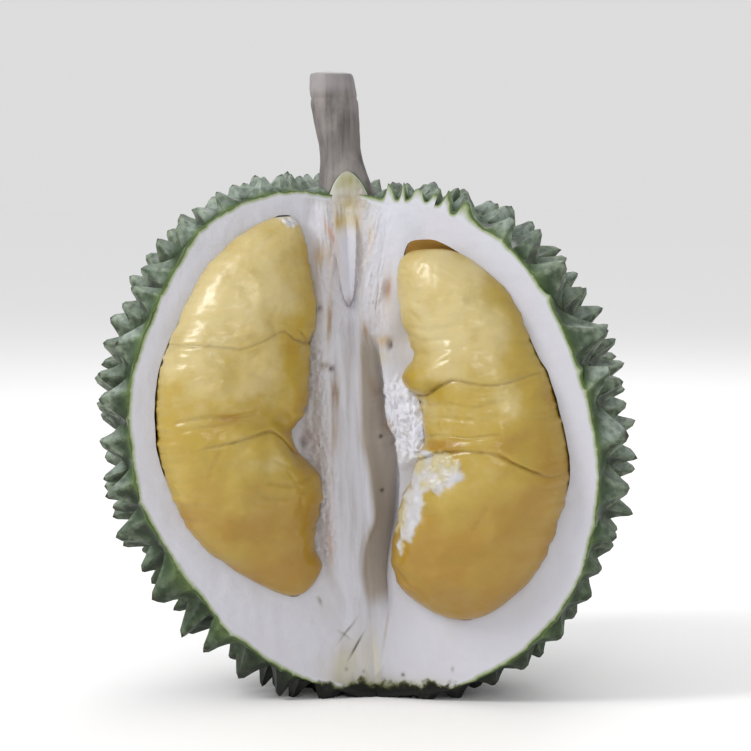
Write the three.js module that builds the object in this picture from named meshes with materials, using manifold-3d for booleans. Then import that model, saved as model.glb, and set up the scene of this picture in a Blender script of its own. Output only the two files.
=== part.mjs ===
// A durian opened along its seams: three of the five husk valves stay joined round the core,
// with one pod of three arils in each of the two opened chambers, and the stalk on top.
import * as THREE from "three";
import { ConvexHull } from "three/addons/math/ConvexHull.js";
import { mergeVertices } from "three/addons/utils/BufferGeometryUtils.js";
import Module from "manifold-3d";

const wasm = await Module();
wasm.setup();

// Millimetres. +Z is up, the opened side faces -Y, and z = 0 is the surface that it stands on.
const CENTRE = new THREE.Vector3(0, 0, 100.3);
const MEAN_RADIUS = 91.8; // husk radius between the spines
const STRETCH = 10.5; // longer along its slanted long axis and slimmer across it
const STRETCH_LEAN = radians(13);
const GIRTH = 8.5; // fullness round the middle
const UNEVEN = 0.7; // three-sided unevenness of the outline
const VALVES = 5;
const VALVE_SWELL = 1.2; // each valve bulges this much between its furrows
const CROWN_LEAN = radians(4); // the stalk end lies towards -X
const CROWN_DIMPLE = 12.2;
const CROWN_DIMPLE_WIDTH = 0.31; // radians, as the two widths below
const BASE_FLAT = 4;
const BASE_FLAT_WIDTH = 0.25;
const BASE_SCAR = 4.2; // the stylar scar that the fruit rests on
const BASE_SCAR_WIDTH = 0.14;

const SPINES = 550; // on the whole fruit
const SPINE_HEIGHT = 11.6; // round the middle
const SPINE_GROWTH = 0.38; // spines are taller below the middle and shorter above by this share
const SPINE_AT_CROWN = 0.72; // share of the height that is left beside the stalk
const SPINE_AT_BASE = 0.62;
const POLE_CROWDING = 0.3; // how much closer the spines stand at the two ends
const SPINE_JITTER = 0.17; // share of the pitch
const SEAM_MARGIN = [5, 7.5]; // the fruit parts along a furrow, so no spine stands nearer than this
const SEAM_REACH = 22; // spines within this of a cut are mirrored beyond it, which puts a valley on it
const RIDGE_SAG = 0.38; // height of a ridge half way down its spine
const SKIN = 1.6; // green skin in the valleys
const LINED_SPINE = 0.68; // share of a spine that the white lining fills
const GAP = 0.5; // between skin and lining, measured along the radius
const CLEARANCE = 0.3; // round the stalk's root

const AXIS_LEAN = radians(3.5); // the core leans towards -X at the top
const AXIS_FOOT = new THREE.Vector3(3.8, -8, 0); // where the two cut faces meet on the ground plane
const CUT_ANGLE = radians(18); // each cut face comes forward by this much
const WEDGE_REACH = 200;

const ARIL_GAP = 0.5;
const SEAM_POWER = 12; // bluntness of an aril's end where it meets the next one
const TIP_POWER = 2.3; // and where it ends the pod
const CHAMBER_CLEARANCE = 1.4;
const FRONT_SHARE = 0.7; // pod depth in front of the cut face, over half its width
const BACK_SHARE = 0.85;
// Pod outlines on the cut faces: height along the core, then distance from the core to the
// pod's inner and outer edges.
const PODS = {
  left: {
    side: -1,
    outline: [
      [184, 9, 40],
      [170, 13, 54.5],
      [150, 14.5, 67],
      [130, 17.5, 75],
      [110, 21.5, 77.5],
      [90, 19, 76],
      [70, 18.5, 68],
      [52, 16, 52],
      [40, 13, 40],
    ],
    seams: [
      [41, 0],
      [101.5, 0.04],
      [140.5, 0],
      [184, 0],
    ],
  },
  right: {
    side: 1,
    outline: [
      [172, 11, 42],
      [158, 16.5, 55.5],
      [140, 19.5, 69.5],
      [120, 22.5, 76],
      [100, 23.5, 80],
      [80, 17.5, 79],
      [60, 11, 74.5],
      [42, 8, 65],
      [28, 11, 54],
    ],
    seams: [
      [28, 0],
      [89, -0.1],
      [119.5, 0.16],
      [172, 0],
    ],
  },
};
const ARIL_NAMES = ["bottom", "middle", "top"];

// Core column: height, sideways place, half width, and how far it stands out of the cut.
const COLUMN = [
  [5, 3, 3, 0.5],
  [30, -2.5, 8, 3],
  [60, -7.5, 10.5, 6.5],
  [105, -9, 11, 7.5],
  [150, -9, 10, 6],
  [178, -8.6, 8, 4.5],
  [191, -8.4, 6.5, 2.5],
  [198.5, -8.7, 1, 1.5],
];
const COLUMN_ROOT = 7; // how far it is sunk behind the cut
const TONGUE = { x: -8, z: 161, width: 8.5, length: 28, out: 4 };
const POCKET = { from: 36, to: 166, inner: -0.5, outer: 32, depth: 17 }; // open side of the right chamber

// Stalk: radius at each height.
const STALK = [
  [184, 8.6],
  [189, 9.8],
  [193.5, 9.6],
  [199, 8.5],
  [206.5, 7.5],
  [214.5, 8.1],
  [222, 8.6],
  [226, 8.2],
  [228.5, 8.6],
  [233, 8],
  [236, 7.1],
];
const STALK_SIDES = 20;
const STALK_FOOT = new THREE.Vector3(-8, 1.2, 193);
const STALK_SLOPE = -0.145;
const STALK_CURL = 0.0005;

const GOLDEN_ANGLE = Math.PI * (3 - Math.sqrt(5));
const UP = new THREE.Vector3(0, 0, 1);
const LONG_AXIS = new THREE.Vector3(-Math.sin(STRETCH_LEAN), 0, Math.cos(STRETCH_LEAN));
const CROWN = new THREE.Vector3(-Math.sin(CROWN_LEAN), 0, Math.cos(CROWN_LEAN));
const CORE = new THREE.Vector3(-Math.sin(AXIS_LEAN), 0, Math.cos(AXIS_LEAN));
const ACROSS = new THREE.Vector3(Math.cos(AXIS_LEAN), 0, Math.sin(AXIS_LEAN));

function radians(degrees) {
  return (degrees * Math.PI) / 180;
}

// A repeatable number from 0 to 1.
function draw(index, salt) {
  const value = Math.sin(index * 12.9898 + salt * 78.233) * 43758.5453;
  return value - Math.floor(value);
}

function bump(angle, width) {
  return Math.exp(-((angle / width) ** 2));
}

function smooth(low, high, value) {
  return THREE.MathUtils.smoothstep(value, low, high);
}

// Husk radius between the spines, in the direction of a unit vector.
function huskRadius(u) {
  const across = 1 - u.z * u.z;
  const fromCrown = u.angleTo(CROWN);
  const fromBase = Math.PI - u.angleTo(UP);
  const valve = Math.cos(VALVES * (Math.atan2(u.y, u.x) + CUT_ANGLE - Math.PI / VALVES));
  return (
    MEAN_RADIUS +
    STRETCH * (2 * u.dot(LONG_AXIS) ** 2 - 1) +
    GIRTH * across ** 1.5 +
    UNEVEN * (3 * u.x - 4 * u.x ** 3) +
    VALVE_SWELL * across * (1 + valve) * 0.5 -
    CROWN_DIMPLE * bump(fromCrown, CROWN_DIMPLE_WIDTH) -
    BASE_FLAT * bump(fromBase, BASE_FLAT_WIDTH) +
    BASE_SCAR * bump(fromBase, BASE_SCAR_WIDTH)
  );
}

function huskPoint(u, height) {
  return u
    .clone()
    .multiplyScalar(huskRadius(u) + height)
    .add(CENTRE);
}

// The direction from the core out along a cut face, and the face's normal towards the opening.
function cutFace(side) {
  const outward = ACROSS.clone().multiplyScalar(side * Math.cos(CUT_ANGLE));
  const normal = ACROSS.clone().multiplyScalar(-side * Math.sin(CUT_ANGLE));
  return { outward: outward.setY(-Math.sin(CUT_ANGLE)), normal: normal.setY(-Math.cos(CUT_ANGLE)) };
}

// Spine directions: a golden spiral from the crown to the base, crowded at both ends.
function spiralDirections() {
  const toCrown = new THREE.Quaternion().setFromUnitVectors(UP, CROWN);
  const pitch = Math.sqrt((4 * Math.PI) / SPINES);
  const directions = [];
  for (let k = 0; k < SPINES; k++) {
    const t = (k + 0.5) / SPINES;
    const even = Math.acos(1 - 2 * t);
    const polar = even + POLE_CROWDING * (Math.PI * t - even);
    const jitter = SPINE_JITTER * pitch * smooth(0, 0.3, Math.sin(polar));
    const theta = polar + jitter * (2 * draw(k, 1) - 1);
    const phi = k * GOLDEN_ANGLE + (jitter * (2 * draw(k, 2) - 1)) / Math.sin(polar);
    const u = new THREE.Vector3().setFromSphericalCoords(1, theta, phi);
    directions.push(new THREE.Vector3(u.z, u.x, u.y).applyQuaternion(toCrown));
  }
  return directions;
}

// The spiral's spines, moved off the cuts and mirrored across them.
function spineDirections() {
  const kept = [];
  const beyond = [];
  spiralDirections().forEach((u, index) => {
    const foot = huskPoint(u, 0);
    const fromCore = foot.clone().sub(AXIS_FOOT);
    const { normal } = cutFace(Math.sign(fromCore.dot(ACROSS)));
    const ahead = fromCore.dot(normal);
    if (ahead > SEAM_REACH) beyond.push(u);
    if (ahead >= 0) return;
    const margin = THREE.MathUtils.lerp(...SEAM_MARGIN, draw(index, 4));
    const behind = Math.max(-ahead, margin);
    foot.addScaledVector(normal, -behind - ahead);
    kept.push(foot.clone().sub(CENTRE).normalize());
    if (behind < SEAM_REACH) {
      foot.addScaledVector(normal, 2 * behind);
      beyond.push(foot.sub(CENTRE).normalize());
    }
  });
  return [...kept, ...beyond];
}

function spineHeight(u, index) {
  const fromCrown = u.angleTo(CROWN);
  const crown = THREE.MathUtils.lerp(SPINE_AT_CROWN, 1, smooth(0.25, 1.1, fromCrown));
  const stalk = smooth(0.08, 0.2, fromCrown);
  const base = THREE.MathUtils.lerp(SPINE_AT_BASE, 1, smooth(-1, -0.6, u.z));
  const growth = 1 - SPINE_GROWTH * u.z;
  return SPINE_HEIGHT * growth * crown * stalk * base * (0.88 + 0.24 * draw(index, 3));
}

const spineTips = spineDirections();
const spineCells = new ConvexHull().setFromPoints(spineTips).faces;

// The husk's surface with every spine a pyramid over its own cell. Neighbouring cells share
// their corners, which lie in the valleys, and each ridge may sag half way down.
function spinySurface(level, tipHeight, sagged) {
  const points = [];
  const triangles = [];
  const tipOf = new Map(spineTips.map((u, i) => [u, i]));
  const known = new Map();
  function vertex(key, make) {
    if (!known.has(key)) {
      known.set(key, points.length);
      points.push(make());
    }
    return known.get(key);
  }
  const cornerOf = new Map(
    spineCells.map((cell, i) => [
      cell,
      { name: i, u: cell.midpoint.clone().normalize() },
    ]),
  );
  for (const cell of spineCells) {
    let edge = cell.edge;
    do {
      const tip = edge.tail().point;
      const index = tipOf.get(tip);
      const height = spineHeight(tip, index);
      const ends = [cornerOf.get(edge.twin.face), cornerOf.get(cell)];
      const peak = vertex(`tip ${index}`, () => huskPoint(tip, tipHeight(height)));
      const feet = ends.map(({ name, u }) =>
        vertex(`corner ${name}`, () => huskPoint(u, level)),
      );
      if (sagged) {
        const knees = ends.map(({ name, u }) =>
          vertex(`knee ${index} ${name}`, () =>
            huskPoint(tip.clone().add(u).normalize(), height * RIDGE_SAG),
          ),
        );
        triangles.push(peak, knees[0], knees[1]);
        triangles.push(knees[0], feet[0], feet[1]);
        triangles.push(knees[0], feet[1], knees[1]);
      } else {
        triangles.push(peak, feet[0], feet[1]);
      }
      edge = edge.next;
    } while (edge !== cell.edge);
  }
  const geometry = new THREE.BufferGeometry().setFromPoints(points);
  return geometry.setIndex(triangles);
}

function solid(geometry) {
  const bare = new THREE.BufferGeometry();
  bare.setAttribute("position", geometry.getAttribute("position"));
  bare.setIndex(geometry.index);
  const merged = mergeVertices(bare, 1e-4);
  return new wasm.Manifold(
    new wasm.Mesh({
      numProp: 3,
      vertProperties: new Float32Array(merged.attributes.position.array),
      triVerts: new Uint32Array(merged.index.array),
    }),
  );
}

function mesh(name, made, color, roughness) {
  const { vertProperties, triVerts } = made.getMesh();
  const geometry = new THREE.BufferGeometry();
  geometry.setAttribute("position", new THREE.BufferAttribute(vertProperties, 3));
  geometry.setIndex(new THREE.BufferAttribute(triVerts, 1));
  geometry.computeVertexNormals();
  const material = new THREE.MeshStandardMaterial({ color, roughness, metalness: 0 });
  const result = new THREE.Mesh(geometry, material);
  result.name = name;
  return result;
}

// Changes every vertex of a geometry by a function.
function reshape(geometry, change) {
  const position = geometry.getAttribute("position");
  const point = new THREE.Vector3();
  for (let i = 0; i < position.count; i++) {
    point.fromBufferAttribute(position, i);
    change(point);
    position.setXYZ(i, point.x, point.y, point.z);
  }
  return geometry;
}

// A smooth curve through rows of numbers whose first number is the height.
function along(rows, height) {
  const ordered = rows[0][0] < rows.at(-1)[0] ? rows : [...rows].reverse();
  const last = ordered.length - 1;
  const at = THREE.MathUtils.clamp(height, ordered[0][0], ordered[last][0]);
  let i = 0;
  while (i < last - 1 && at > ordered[i + 1][0]) i++;
  const [a, b] = [ordered[i], ordered[i + 1]];
  const [before, after] = [ordered[Math.max(i - 1, 0)], ordered[Math.min(i + 2, last)]];
  const span = b[0] - a[0];
  const t = (at - a[0]) / span;
  return a.slice(1).map((value, k) => {
    const n = k + 1;
    const leave = ((b[n] - before[n]) / (b[0] - before[0])) * span;
    const arrive = ((after[n] - a[n]) / (after[0] - a[0])) * span;
    const t2 = t * t;
    const t3 = t2 * t;
    return (
      (2 * t3 - 3 * t2 + 1) * value +
      (t3 - 2 * t2 + t) * leave +
      (3 * t2 - 2 * t3) * b[n] +
      (t3 - t2) * arrive
    );
  });
}

// A point given on a cut face: out from the core, forward of the face, and up the core.
function onFace(side, out, forward, up) {
  const { outward, normal } = cutFace(side);
  return AXIS_FOOT.clone()
    .addScaledVector(CORE, up)
    .addScaledVector(outward, out)
    .addScaledVector(normal, forward);
}

// A ball with poles along Z, whose lower and upper ends are blunter the higher their power.
function bluntBall(around, high, lowPower, highPower) {
  const ball = new THREE.SphereGeometry(1, around, high);
  ball.rotateX(Math.PI / 2);
  return reshape(ball, (p) => {
    const ring = Math.hypot(p.x, p.y);
    const power = p.z < 0 ? lowPower : highPower;
    const radius = Math.max(1 - Math.abs(p.z) ** power, 0) ** (1 / power);
    const change = ring < 1e-6 ? 0 : radius / ring;
    p.x *= change;
    p.y *= change;
  });
}

// One aril of a pod between two of its seams, or the room for it when it is grown.
function arilShape(pod, index, grown, around, high) {
  const [low, lowSlope] = pod.seams[index];
  const [top, topSlope] = pod.seams[index + 1];
  const inset = ARIL_GAP / 2 - grown;
  const powers = [index === 0 ? TIP_POWER : SEAM_POWER, index === 2 ? TIP_POWER : SEAM_POWER];
  const shape = reshape(bluntBall(around, high, ...powers), (p) => {
    const share = (p.z + 1) / 2;
    const up = THREE.MathUtils.lerp(low + inset, top - inset, share);
    const [inner, outer] = along(pod.outline, up);
    const half = (outer - inner) / 2;
    const lateral = (half + grown) * p.x;
    const deep = p.y < 0 ? FRONT_SHARE : BACK_SHARE;
    const out = (inner + outer) / 2 + lateral;
    const slant = THREE.MathUtils.lerp(lowSlope, topSlope, share) * lateral;
    p.copy(onFace(pod.side, out, -(half * deep + grown) * p.y, up + slant));
  });
  return orient(solid(shape), shape);
}

// Turns a shape the right way out where its mapping has mirrored it.
function orient(made, geometry) {
  if (made.volume() > 0) return made;
  const index = geometry.index.array;
  for (let i = 0; i < index.length; i += 3) {
    [index[i + 1], index[i + 2]] = [index[i + 2], index[i + 1]];
  }
  return solid(geometry);
}

function openingWedge() {
  const fall = Math.tan(CUT_ANGLE) * WEDGE_REACH;
  const plan = new THREE.Shape();
  plan.moveTo(0, 0);
  plan.lineTo(-WEDGE_REACH, -fall);
  plan.lineTo(-WEDGE_REACH, -WEDGE_REACH);
  plan.lineTo(WEDGE_REACH, -WEDGE_REACH);
  plan.lineTo(WEDGE_REACH, -fall);
  const prism = new THREE.ExtrudeGeometry(plan, {
    depth: 2 * WEDGE_REACH,
    bevelEnabled: false,
  });
  prism.translate(0, 0, -WEDGE_REACH / 2);
  prism.rotateY(-AXIS_LEAN);
  prism.translate(AXIS_FOOT.x, AXIS_FOOT.y, 0);
  return solid(prism);
}

function ground(height) {
  const block = new THREE.BoxGeometry(2 * WEDGE_REACH, 2 * WEDGE_REACH, WEDGE_REACH);
  block.translate(0, 0, height - WEDGE_REACH / 2);
  return solid(block);
}

function stalkShape(extra) {
  const profile = STALK.map(([z, radius]) => new THREE.Vector2(radius + extra, z));
  profile.unshift(new THREE.Vector2(0, STALK[0][0] - extra));
  profile.push(new THREE.Vector2(0, STALK.at(-1)[0] + extra));
  const lathe = new THREE.LatheGeometry(profile, STALK_SIDES);
  lathe.rotateX(Math.PI / 2);
  reshape(lathe, (p) => {
    const rise = p.z - STALK_FOOT.z;
    p.x += STALK_FOOT.x + STALK_SLOPE * rise + STALK_CURL * rise * rise;
    p.y += STALK_FOOT.y;
  });
  return orient(solid(lathe), lathe);
}

function columnShape(grown) {
  const rod = new THREE.CylinderGeometry(1, 1, 1, 12, 14);
  rod.rotateX(Math.PI / 2);
  const low = COLUMN[0][0] - grown;
  const high = COLUMN.at(-1)[0] + grown;
  reshape(rod, (p) => {
    const up = THREE.MathUtils.lerp(low, high, p.z + 0.5);
    const [x, half, out] = along(COLUMN, up);
    const deep = grown + (p.y < 0 ? out : Math.min(half, COLUMN_ROOT));
    p.set(x + (half + grown) * p.x, AXIS_FOOT.y - 1 + deep * p.y, up);
  });
  return orient(solid(rod), rod);
}

function tongueShape() {
  const [, , out] = along(COLUMN, TONGUE.z);
  const ball = new THREE.SphereGeometry(1, 10, 8);
  reshape(ball, (p) => {
    const taper = 0.6 + 0.4 * p.y;
    p.set(
      TONGUE.x + (p.x * taper * TONGUE.width) / 2,
      AXIS_FOOT.y - out - 1 + p.z * TONGUE.out * taper,
      TONGUE.z + (p.y * TONGUE.length) / 2,
    );
  });
  return orient(solid(ball), ball);
}

// The open side of the right chamber, between the core and the pod.
function pocketShape() {
  const ball = bluntBall(16, 10, 4, 4);
  reshape(ball, (p) => {
    const up = THREE.MathUtils.lerp(POCKET.from, POCKET.to, (p.z + 1) / 2);
    const out = THREE.MathUtils.lerp(POCKET.inner, POCKET.outer, (p.x + 1) / 2);
    p.copy(onFace(1, out, -POCKET.depth * p.y, up));
  });
  return orient(solid(ball), ball);
}

function buildDurian() {
  const group = new THREE.Group();
  const wedge = openingWedge();
  const outside = solid(spinySurface(0, (height) => height, true));
  const underSkin = (height) => height * LINED_SPINE - SKIN;
  const skinInside = solid(spinySurface(-SKIN, underSkin, false));
  const lining = solid(
    spinySurface(-SKIN - GAP, (height) => underSkin(height) - GAP, false),
  );
  const stalkRoom = stalkShape(CLEARANCE);

  const rind = outside
    .subtract(ground(0))
    .subtract(skinInside.subtract(ground(SKIN)))
    .subtract(wedge)
    .subtract(columnShape(CLEARANCE))
    .subtract(stalkRoom);
  group.add(mesh("rind", rind, 0x66744f, 0.62));

  let pith = lining
    .subtract(ground(SKIN + GAP))
    .subtract(wedge)
    .add(columnShape(0))
    .add(tongueShape())
    .subtract(pocketShape())
    .subtract(stalkRoom);
  for (const [side, pod] of Object.entries(PODS)) {
    ARIL_NAMES.forEach((place, index) => {
      pith = pith.subtract(arilShape(pod, index, CHAMBER_CLEARANCE, 16, 10));
      const aril = arilShape(pod, index, 0, 18, 10);
      group.add(mesh(`aril_${side}_${place}`, aril, 0xd8bb6a, 0.38));
    });
  }
  group.add(mesh("pith", pith, 0xe7e5df, 0.75));
  group.add(mesh("stalk", stalkShape(0), 0x7b716b, 0.85));
  return group;
}

const group = buildDurian();
export default group;
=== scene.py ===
import math

import bmesh
import bpy
from bpy.props import FloatProperty, FloatVectorProperty, IntProperty, PointerProperty
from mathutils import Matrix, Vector, noise
from mathutils.kdtree import KDTree


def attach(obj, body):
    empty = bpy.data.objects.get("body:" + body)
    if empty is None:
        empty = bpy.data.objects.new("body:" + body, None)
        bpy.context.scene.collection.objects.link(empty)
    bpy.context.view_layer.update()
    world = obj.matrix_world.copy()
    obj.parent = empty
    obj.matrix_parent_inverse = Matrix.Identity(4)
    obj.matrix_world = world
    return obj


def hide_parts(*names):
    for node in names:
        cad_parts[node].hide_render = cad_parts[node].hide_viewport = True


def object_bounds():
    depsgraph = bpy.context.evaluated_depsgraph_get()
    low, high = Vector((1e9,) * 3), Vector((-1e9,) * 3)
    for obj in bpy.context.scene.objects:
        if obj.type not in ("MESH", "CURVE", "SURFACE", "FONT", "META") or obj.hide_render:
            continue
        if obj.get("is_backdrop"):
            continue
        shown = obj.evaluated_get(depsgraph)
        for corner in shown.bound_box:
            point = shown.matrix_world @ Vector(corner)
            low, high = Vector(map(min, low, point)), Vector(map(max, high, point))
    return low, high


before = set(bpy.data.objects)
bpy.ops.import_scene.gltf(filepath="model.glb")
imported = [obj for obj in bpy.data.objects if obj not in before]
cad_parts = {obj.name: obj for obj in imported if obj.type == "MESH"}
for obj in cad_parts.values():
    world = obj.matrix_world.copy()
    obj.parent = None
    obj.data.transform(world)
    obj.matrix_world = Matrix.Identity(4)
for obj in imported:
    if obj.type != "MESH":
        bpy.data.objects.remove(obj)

bl_info = {
    "name": "Opened Durian",
    "version": (1, 0, 0),
    "blender": (4, 5, 0),
    "location": "3D View > Sidebar > Durian",
    "description": "A durian opened along its seams, with two pods of three arils showing",
    "category": "Object",
}

CAD_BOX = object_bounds()
MM = 0.001
UP = Vector((0, 0, 1))
FORWARD = Vector((0, -1, 0))
GOLDEN_ANGLE = math.pi * (3 - math.sqrt(5))
VALVES = 5


def colour(red, green, blue):
    """A colour given as the eye sees it, from 0 to 255, as Blender's linear values."""

    def linear(value):
        value /= 255
        return value / 12.92 if value < 0.04045 else ((value + 0.055) / 1.055) ** 2.4

    return (linear(red), linear(green), linear(blue))


# ------------------------------------------------------------------ settings


def length(name, description, default):
    return FloatProperty(name=name, description=description, default=default, unit="LENGTH")


def angle(name, description, default):
    return FloatProperty(name=name, description=description, default=default, subtype="ANGLE")


def share(name, description, default):
    return FloatProperty(name=name, description=description, default=default)


def tint(name, description, default):
    return FloatVectorProperty(
        name=name, description=description, default=default, subtype="COLOR", size=3
    )


class DurianBody(bpy.types.PropertyGroup):
    centre_height: length("Centre height", "Height of the body's centre", 0.1003)
    mean_radius: length("Mean radius", "Husk radius between the spines", 0.0918)
    stretch: length("Stretch", "Longer along the slanted long axis", 0.0105)
    stretch_lean: angle("Stretch lean", "Slant of the long axis", math.radians(13))
    girth: length("Girth", "Fullness round the middle", 0.0085)
    unevenness: length("Unevenness", "Three-sided unevenness of the outline", 0.0007)
    valve_swell: length("Valve swell", "How much a valve bulges", 0.0012)
    crown_lean: angle("Crown lean", "The stalk end leans this far", math.radians(4))
    crown_dimple: length("Crown dimple", "Depth of the hollow round the stalk", 0.0122)
    crown_width: angle("Crown dimple width", "How far the hollow reaches", 0.31)
    base_flat: length("Base flat", "How far the base is flattened", 0.004)
    base_width: angle("Base flat width", "How far the flat reaches", 0.25)
    scar: length("Scar", "The stylar scar that the fruit rests on", 0.0042)
    scar_width: angle("Scar width", "How far the scar reaches", 0.14)


class DurianOpening(bpy.types.PropertyGroup):
    lean: angle("Core lean", "The core leans this far at the top", math.radians(3.5))
    foot_x: length("Core foot X", "Where the core meets the ground", 0.0038)
    foot_y: length("Core foot Y", "Where the core meets the ground", -0.008)
    cut_angle: angle("Cut angle", "Each cut face comes forward", math.radians(18))


class DurianSpines(bpy.types.PropertyGroup):
    count: IntProperty(name="Spines", description="On the whole fruit", default=550)
    height: length("Height", "Spine height round the middle", 0.0129)
    growth: share("Growth", "Taller below the middle by this share", 0.38)
    at_crown: share("At crown", "Share of the height beside the stalk", 1.1)
    at_crown_right: share("Right crown share", "Height of the right-hand spines at the crown", 0.92)
    at_base: share("At base", "Share of the height at the base", 0.62)
    high_right: share("High right", "Share of the height high up on the right", 1.3)
    low_right: share("Low right", "Share of the height low down on the right", 0.5)
    crowding: share("Crowding", "How much closer they stand at the ends", 0.3)
    jitter: share("Jitter", "Unevenness of their places", 0.17)
    nearest: length("Nearest to a cut", "Smallest distance to a cut", 0.005)
    clear: length("Clear of a cut", "Largest of the smallest distances", 0.0075)
    rim_step: length("Rim step", "Between the spines that the upper cut slices", 0.0048)
    seam_reach: length("Seam reach", "Spines this near a cut are mirrored", 0.022)
    lean: length("Lean", "How far a tip may stand off its middle", 0.002)
    detail: IntProperty(name="Detail", description="Cuts of each edge", default=5)
    skin: length("Skin", "Green skin in the valleys", 0.0016)


class DurianFinish(bpy.types.PropertyGroup):
    # Darker than the facets: the husk's green with painted shade deep between the spines.
    shaded_valley: tint("Valley green", "Husk between the spines", colour(36, 52, 24))
    facet: tint("Facet green", "Sides of the spines", colour(52, 74, 40))
    # Painted shade on the spines' downward-facing sides, also used for dark mottling.
    shade: tint("Shade green", "Lower sides of the spines", colour(26, 37, 20))
    # Wax bloom, laid on upward-facing sides as painted sheen.
    bloom_and_sheen: tint("Wax bloom", "Waxy grey-green cast", colour(150, 163, 155))
    # Pale edges of the spines: partly wear, partly painted highlight.
    ridge: tint("Ridge", "Edges of the spines", colour(152, 164, 142))
    tip: tint("Spine tip", "Dry tips", colour(58, 48, 36))
    fresh_skin: tint("Fresh skin", "Skin beside the cut", colour(98, 122, 62))
    skin_line: tint("Skin line", "Cut skin", colour(66, 84, 44))
    under_skin: tint("Under skin", "Flesh just below the skin", colour(140, 153, 108))
    # Painted contact shadow: near-black where the fruit meets the floor.
    contact_shadow: tint("Underside", "Dark base that the fruit rests on", colour(9, 10, 5))
    # Olive edge of the painted contact shadow at the cut's foot.
    shadow_edge_olive: tint("Moss", "Mossy edge of the dark base", colour(84, 88, 46))
    pith: tint("Pith", "White flesh of the husk", colour(197, 197, 205))
    pith_cloud: tint("Pith cloud", "Warmer patches in the pith", colour(196, 194, 200))
    fibre: tint("Fibre", "Darker streaks by the core", colour(172, 167, 170))
    core_wall: tint("Core wall", "Smooth wall of the core", colour(178, 168, 157))
    core_shade: tint("Core shade", "Darker streaks on that wall", colour(154, 144, 133))
    crumb: tint("Crumb", "Torn white flesh", colour(222, 222, 229))
    cream: tint("Cream aril", "Palest part of an aril", colour(194, 176, 120))
    gold: tint("Gold aril", "Middle tone of an aril", colour(170, 143, 46))
    # Also darkens the lower arils as painted shade from above.
    amber: tint("Amber aril", "Deepest part of an aril", colour(154, 116, 10))
    milky: tint("Milky aril", "Cloudy patches on an aril", colour(190, 178, 136))
    vein: tint("Aril vein", "Deeper streaks on an aril", colour(150, 128, 40))
    # Painted shade in the seams between the arils.
    seam_shade: tint("Aril groove", "Seams between the arils", colour(112, 78, 24))
    torn: tint("Torn aril", "Torn white membrane", colour(190, 189, 193))
    torn_cream: tint("Torn cream", "Cream patches in the torn membrane", colour(186, 176, 138))
    # Brighter than its shade allows: the pocket's yellow is partly painted light glowing through the aril.
    pocket: tint("Pocket", "The room over the right-hand top aril", colour(252, 212, 124))
    gap: tint("Pod gap", "Brown skin that lines a pod", colour(132, 92, 48))
    stalk: tint("Stalk", "Grey bark of the stalk", colour(122, 115, 112))
    stalk_dark: tint("Stalk dark", "Darker bark", colour(70, 64, 64))
    stalk_pale: tint("Stalk pale", "Paler patches of bark", colour(150, 144, 140))
    stalk_speck: tint("Stalk speck", "Specks in the bark", colour(48, 42, 42))
    stalk_top: tint("Stalk top", "Bark near the cut end", colour(156, 150, 152))
    cut_wood: tint("Cut wood", "Cut end of the stalk", colour(182, 180, 176))
    cut_wood_dark: tint("Cut wood dark", "Darker patches of the cut end", colour(146, 142, 136))
    floor: tint("Floor", "Pale floor", colour(255, 255, 255))


SETTINGS = {
    "durian_body": DurianBody,
    "durian_opening": DurianOpening,
    "durian_spines": DurianSpines,
    "durian_finish": DurianFinish,
}


# ------------------------------------------------------------------ small helpers


def draw(index, salt):
    """A repeatable number from 0 to 1."""
    value = math.sin(index * 12.9898 + salt * 78.233) * 43758.5453
    return value - math.floor(value)


def lerp(low, high, amount):
    return low + (high - low) * amount


def smooth(low, high, value):
    amount = min(max((value - low) / (high - low), 0), 1)
    return amount * amount * (3 - 2 * amount)


def bump(distance, width):
    return math.exp(-((distance / width) ** 2))


def along(rows, place):
    """A smooth curve through rows of numbers whose first number is the place."""
    ordered = rows if rows[0][0] < rows[-1][0] else rows[::-1]
    last = len(ordered) - 1
    at = min(max(place, ordered[0][0]), ordered[last][0])
    i = 0
    while i < last - 1 and at > ordered[i + 1][0]:
        i += 1
    a, b = ordered[i], ordered[i + 1]
    before, after = ordered[max(i - 1, 0)], ordered[min(i + 2, last)]
    span = b[0] - a[0]
    t = (at - a[0]) / span
    t2, t3 = t * t, t * t * t
    values = []
    for n in range(1, len(a)):
        leave = (b[n] - before[n]) / (b[0] - before[0]) * span
        arrive = (after[n] - a[n]) / (after[0] - a[0]) * span
        values.append(
            (2 * t3 - 3 * t2 + 1) * a[n]
            + (t3 - 2 * t2 + t) * leave
            + (3 * t2 - 2 * t3) * b[n]
            + (t3 - t2) * arrive
        )
    return values


def grain(x, y, salt=0.0):
    """Smooth noise from -1 to 1 at a place on a surface."""
    return noise.noise(Vector((x, y, salt)))


# Distances from the core within which the rim beside the crown keeps to the even surface.
CORE_ZONE = (0.004, 0.018)
# Height, how much further out the cut skin stands there, and how far behind the cut that
# reaches, in millimetres, on each side.
RIM_FULLNESS = {
    -1: [
        (190, 0.6, 20),
        (175, 2.2, 20),
        (161, 0.3, 20),
        (140, 0.3, 20),
        (122, 1.6, 20),
        (95, 1.8, 20),
        (73, 2.6, 20),
        (60, 0.7, 20),
        (50, 0, 20),
    ],
    1: [
        (197, -2.6, 60),
        (187, -3.3, 60),
        (180, -1.2, 50),
        (172, 0.2, 30),
        (165, 0.9, 20),
        (125, 0.8, 20),
        (105, 1.4, 20),
        (85, 2.2, 20),
        (60, 2.6, 20),
        (40, 2.8, 20),
        (25, 1.8, 20),
        (10, 0, 20),
    ],
}


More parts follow.
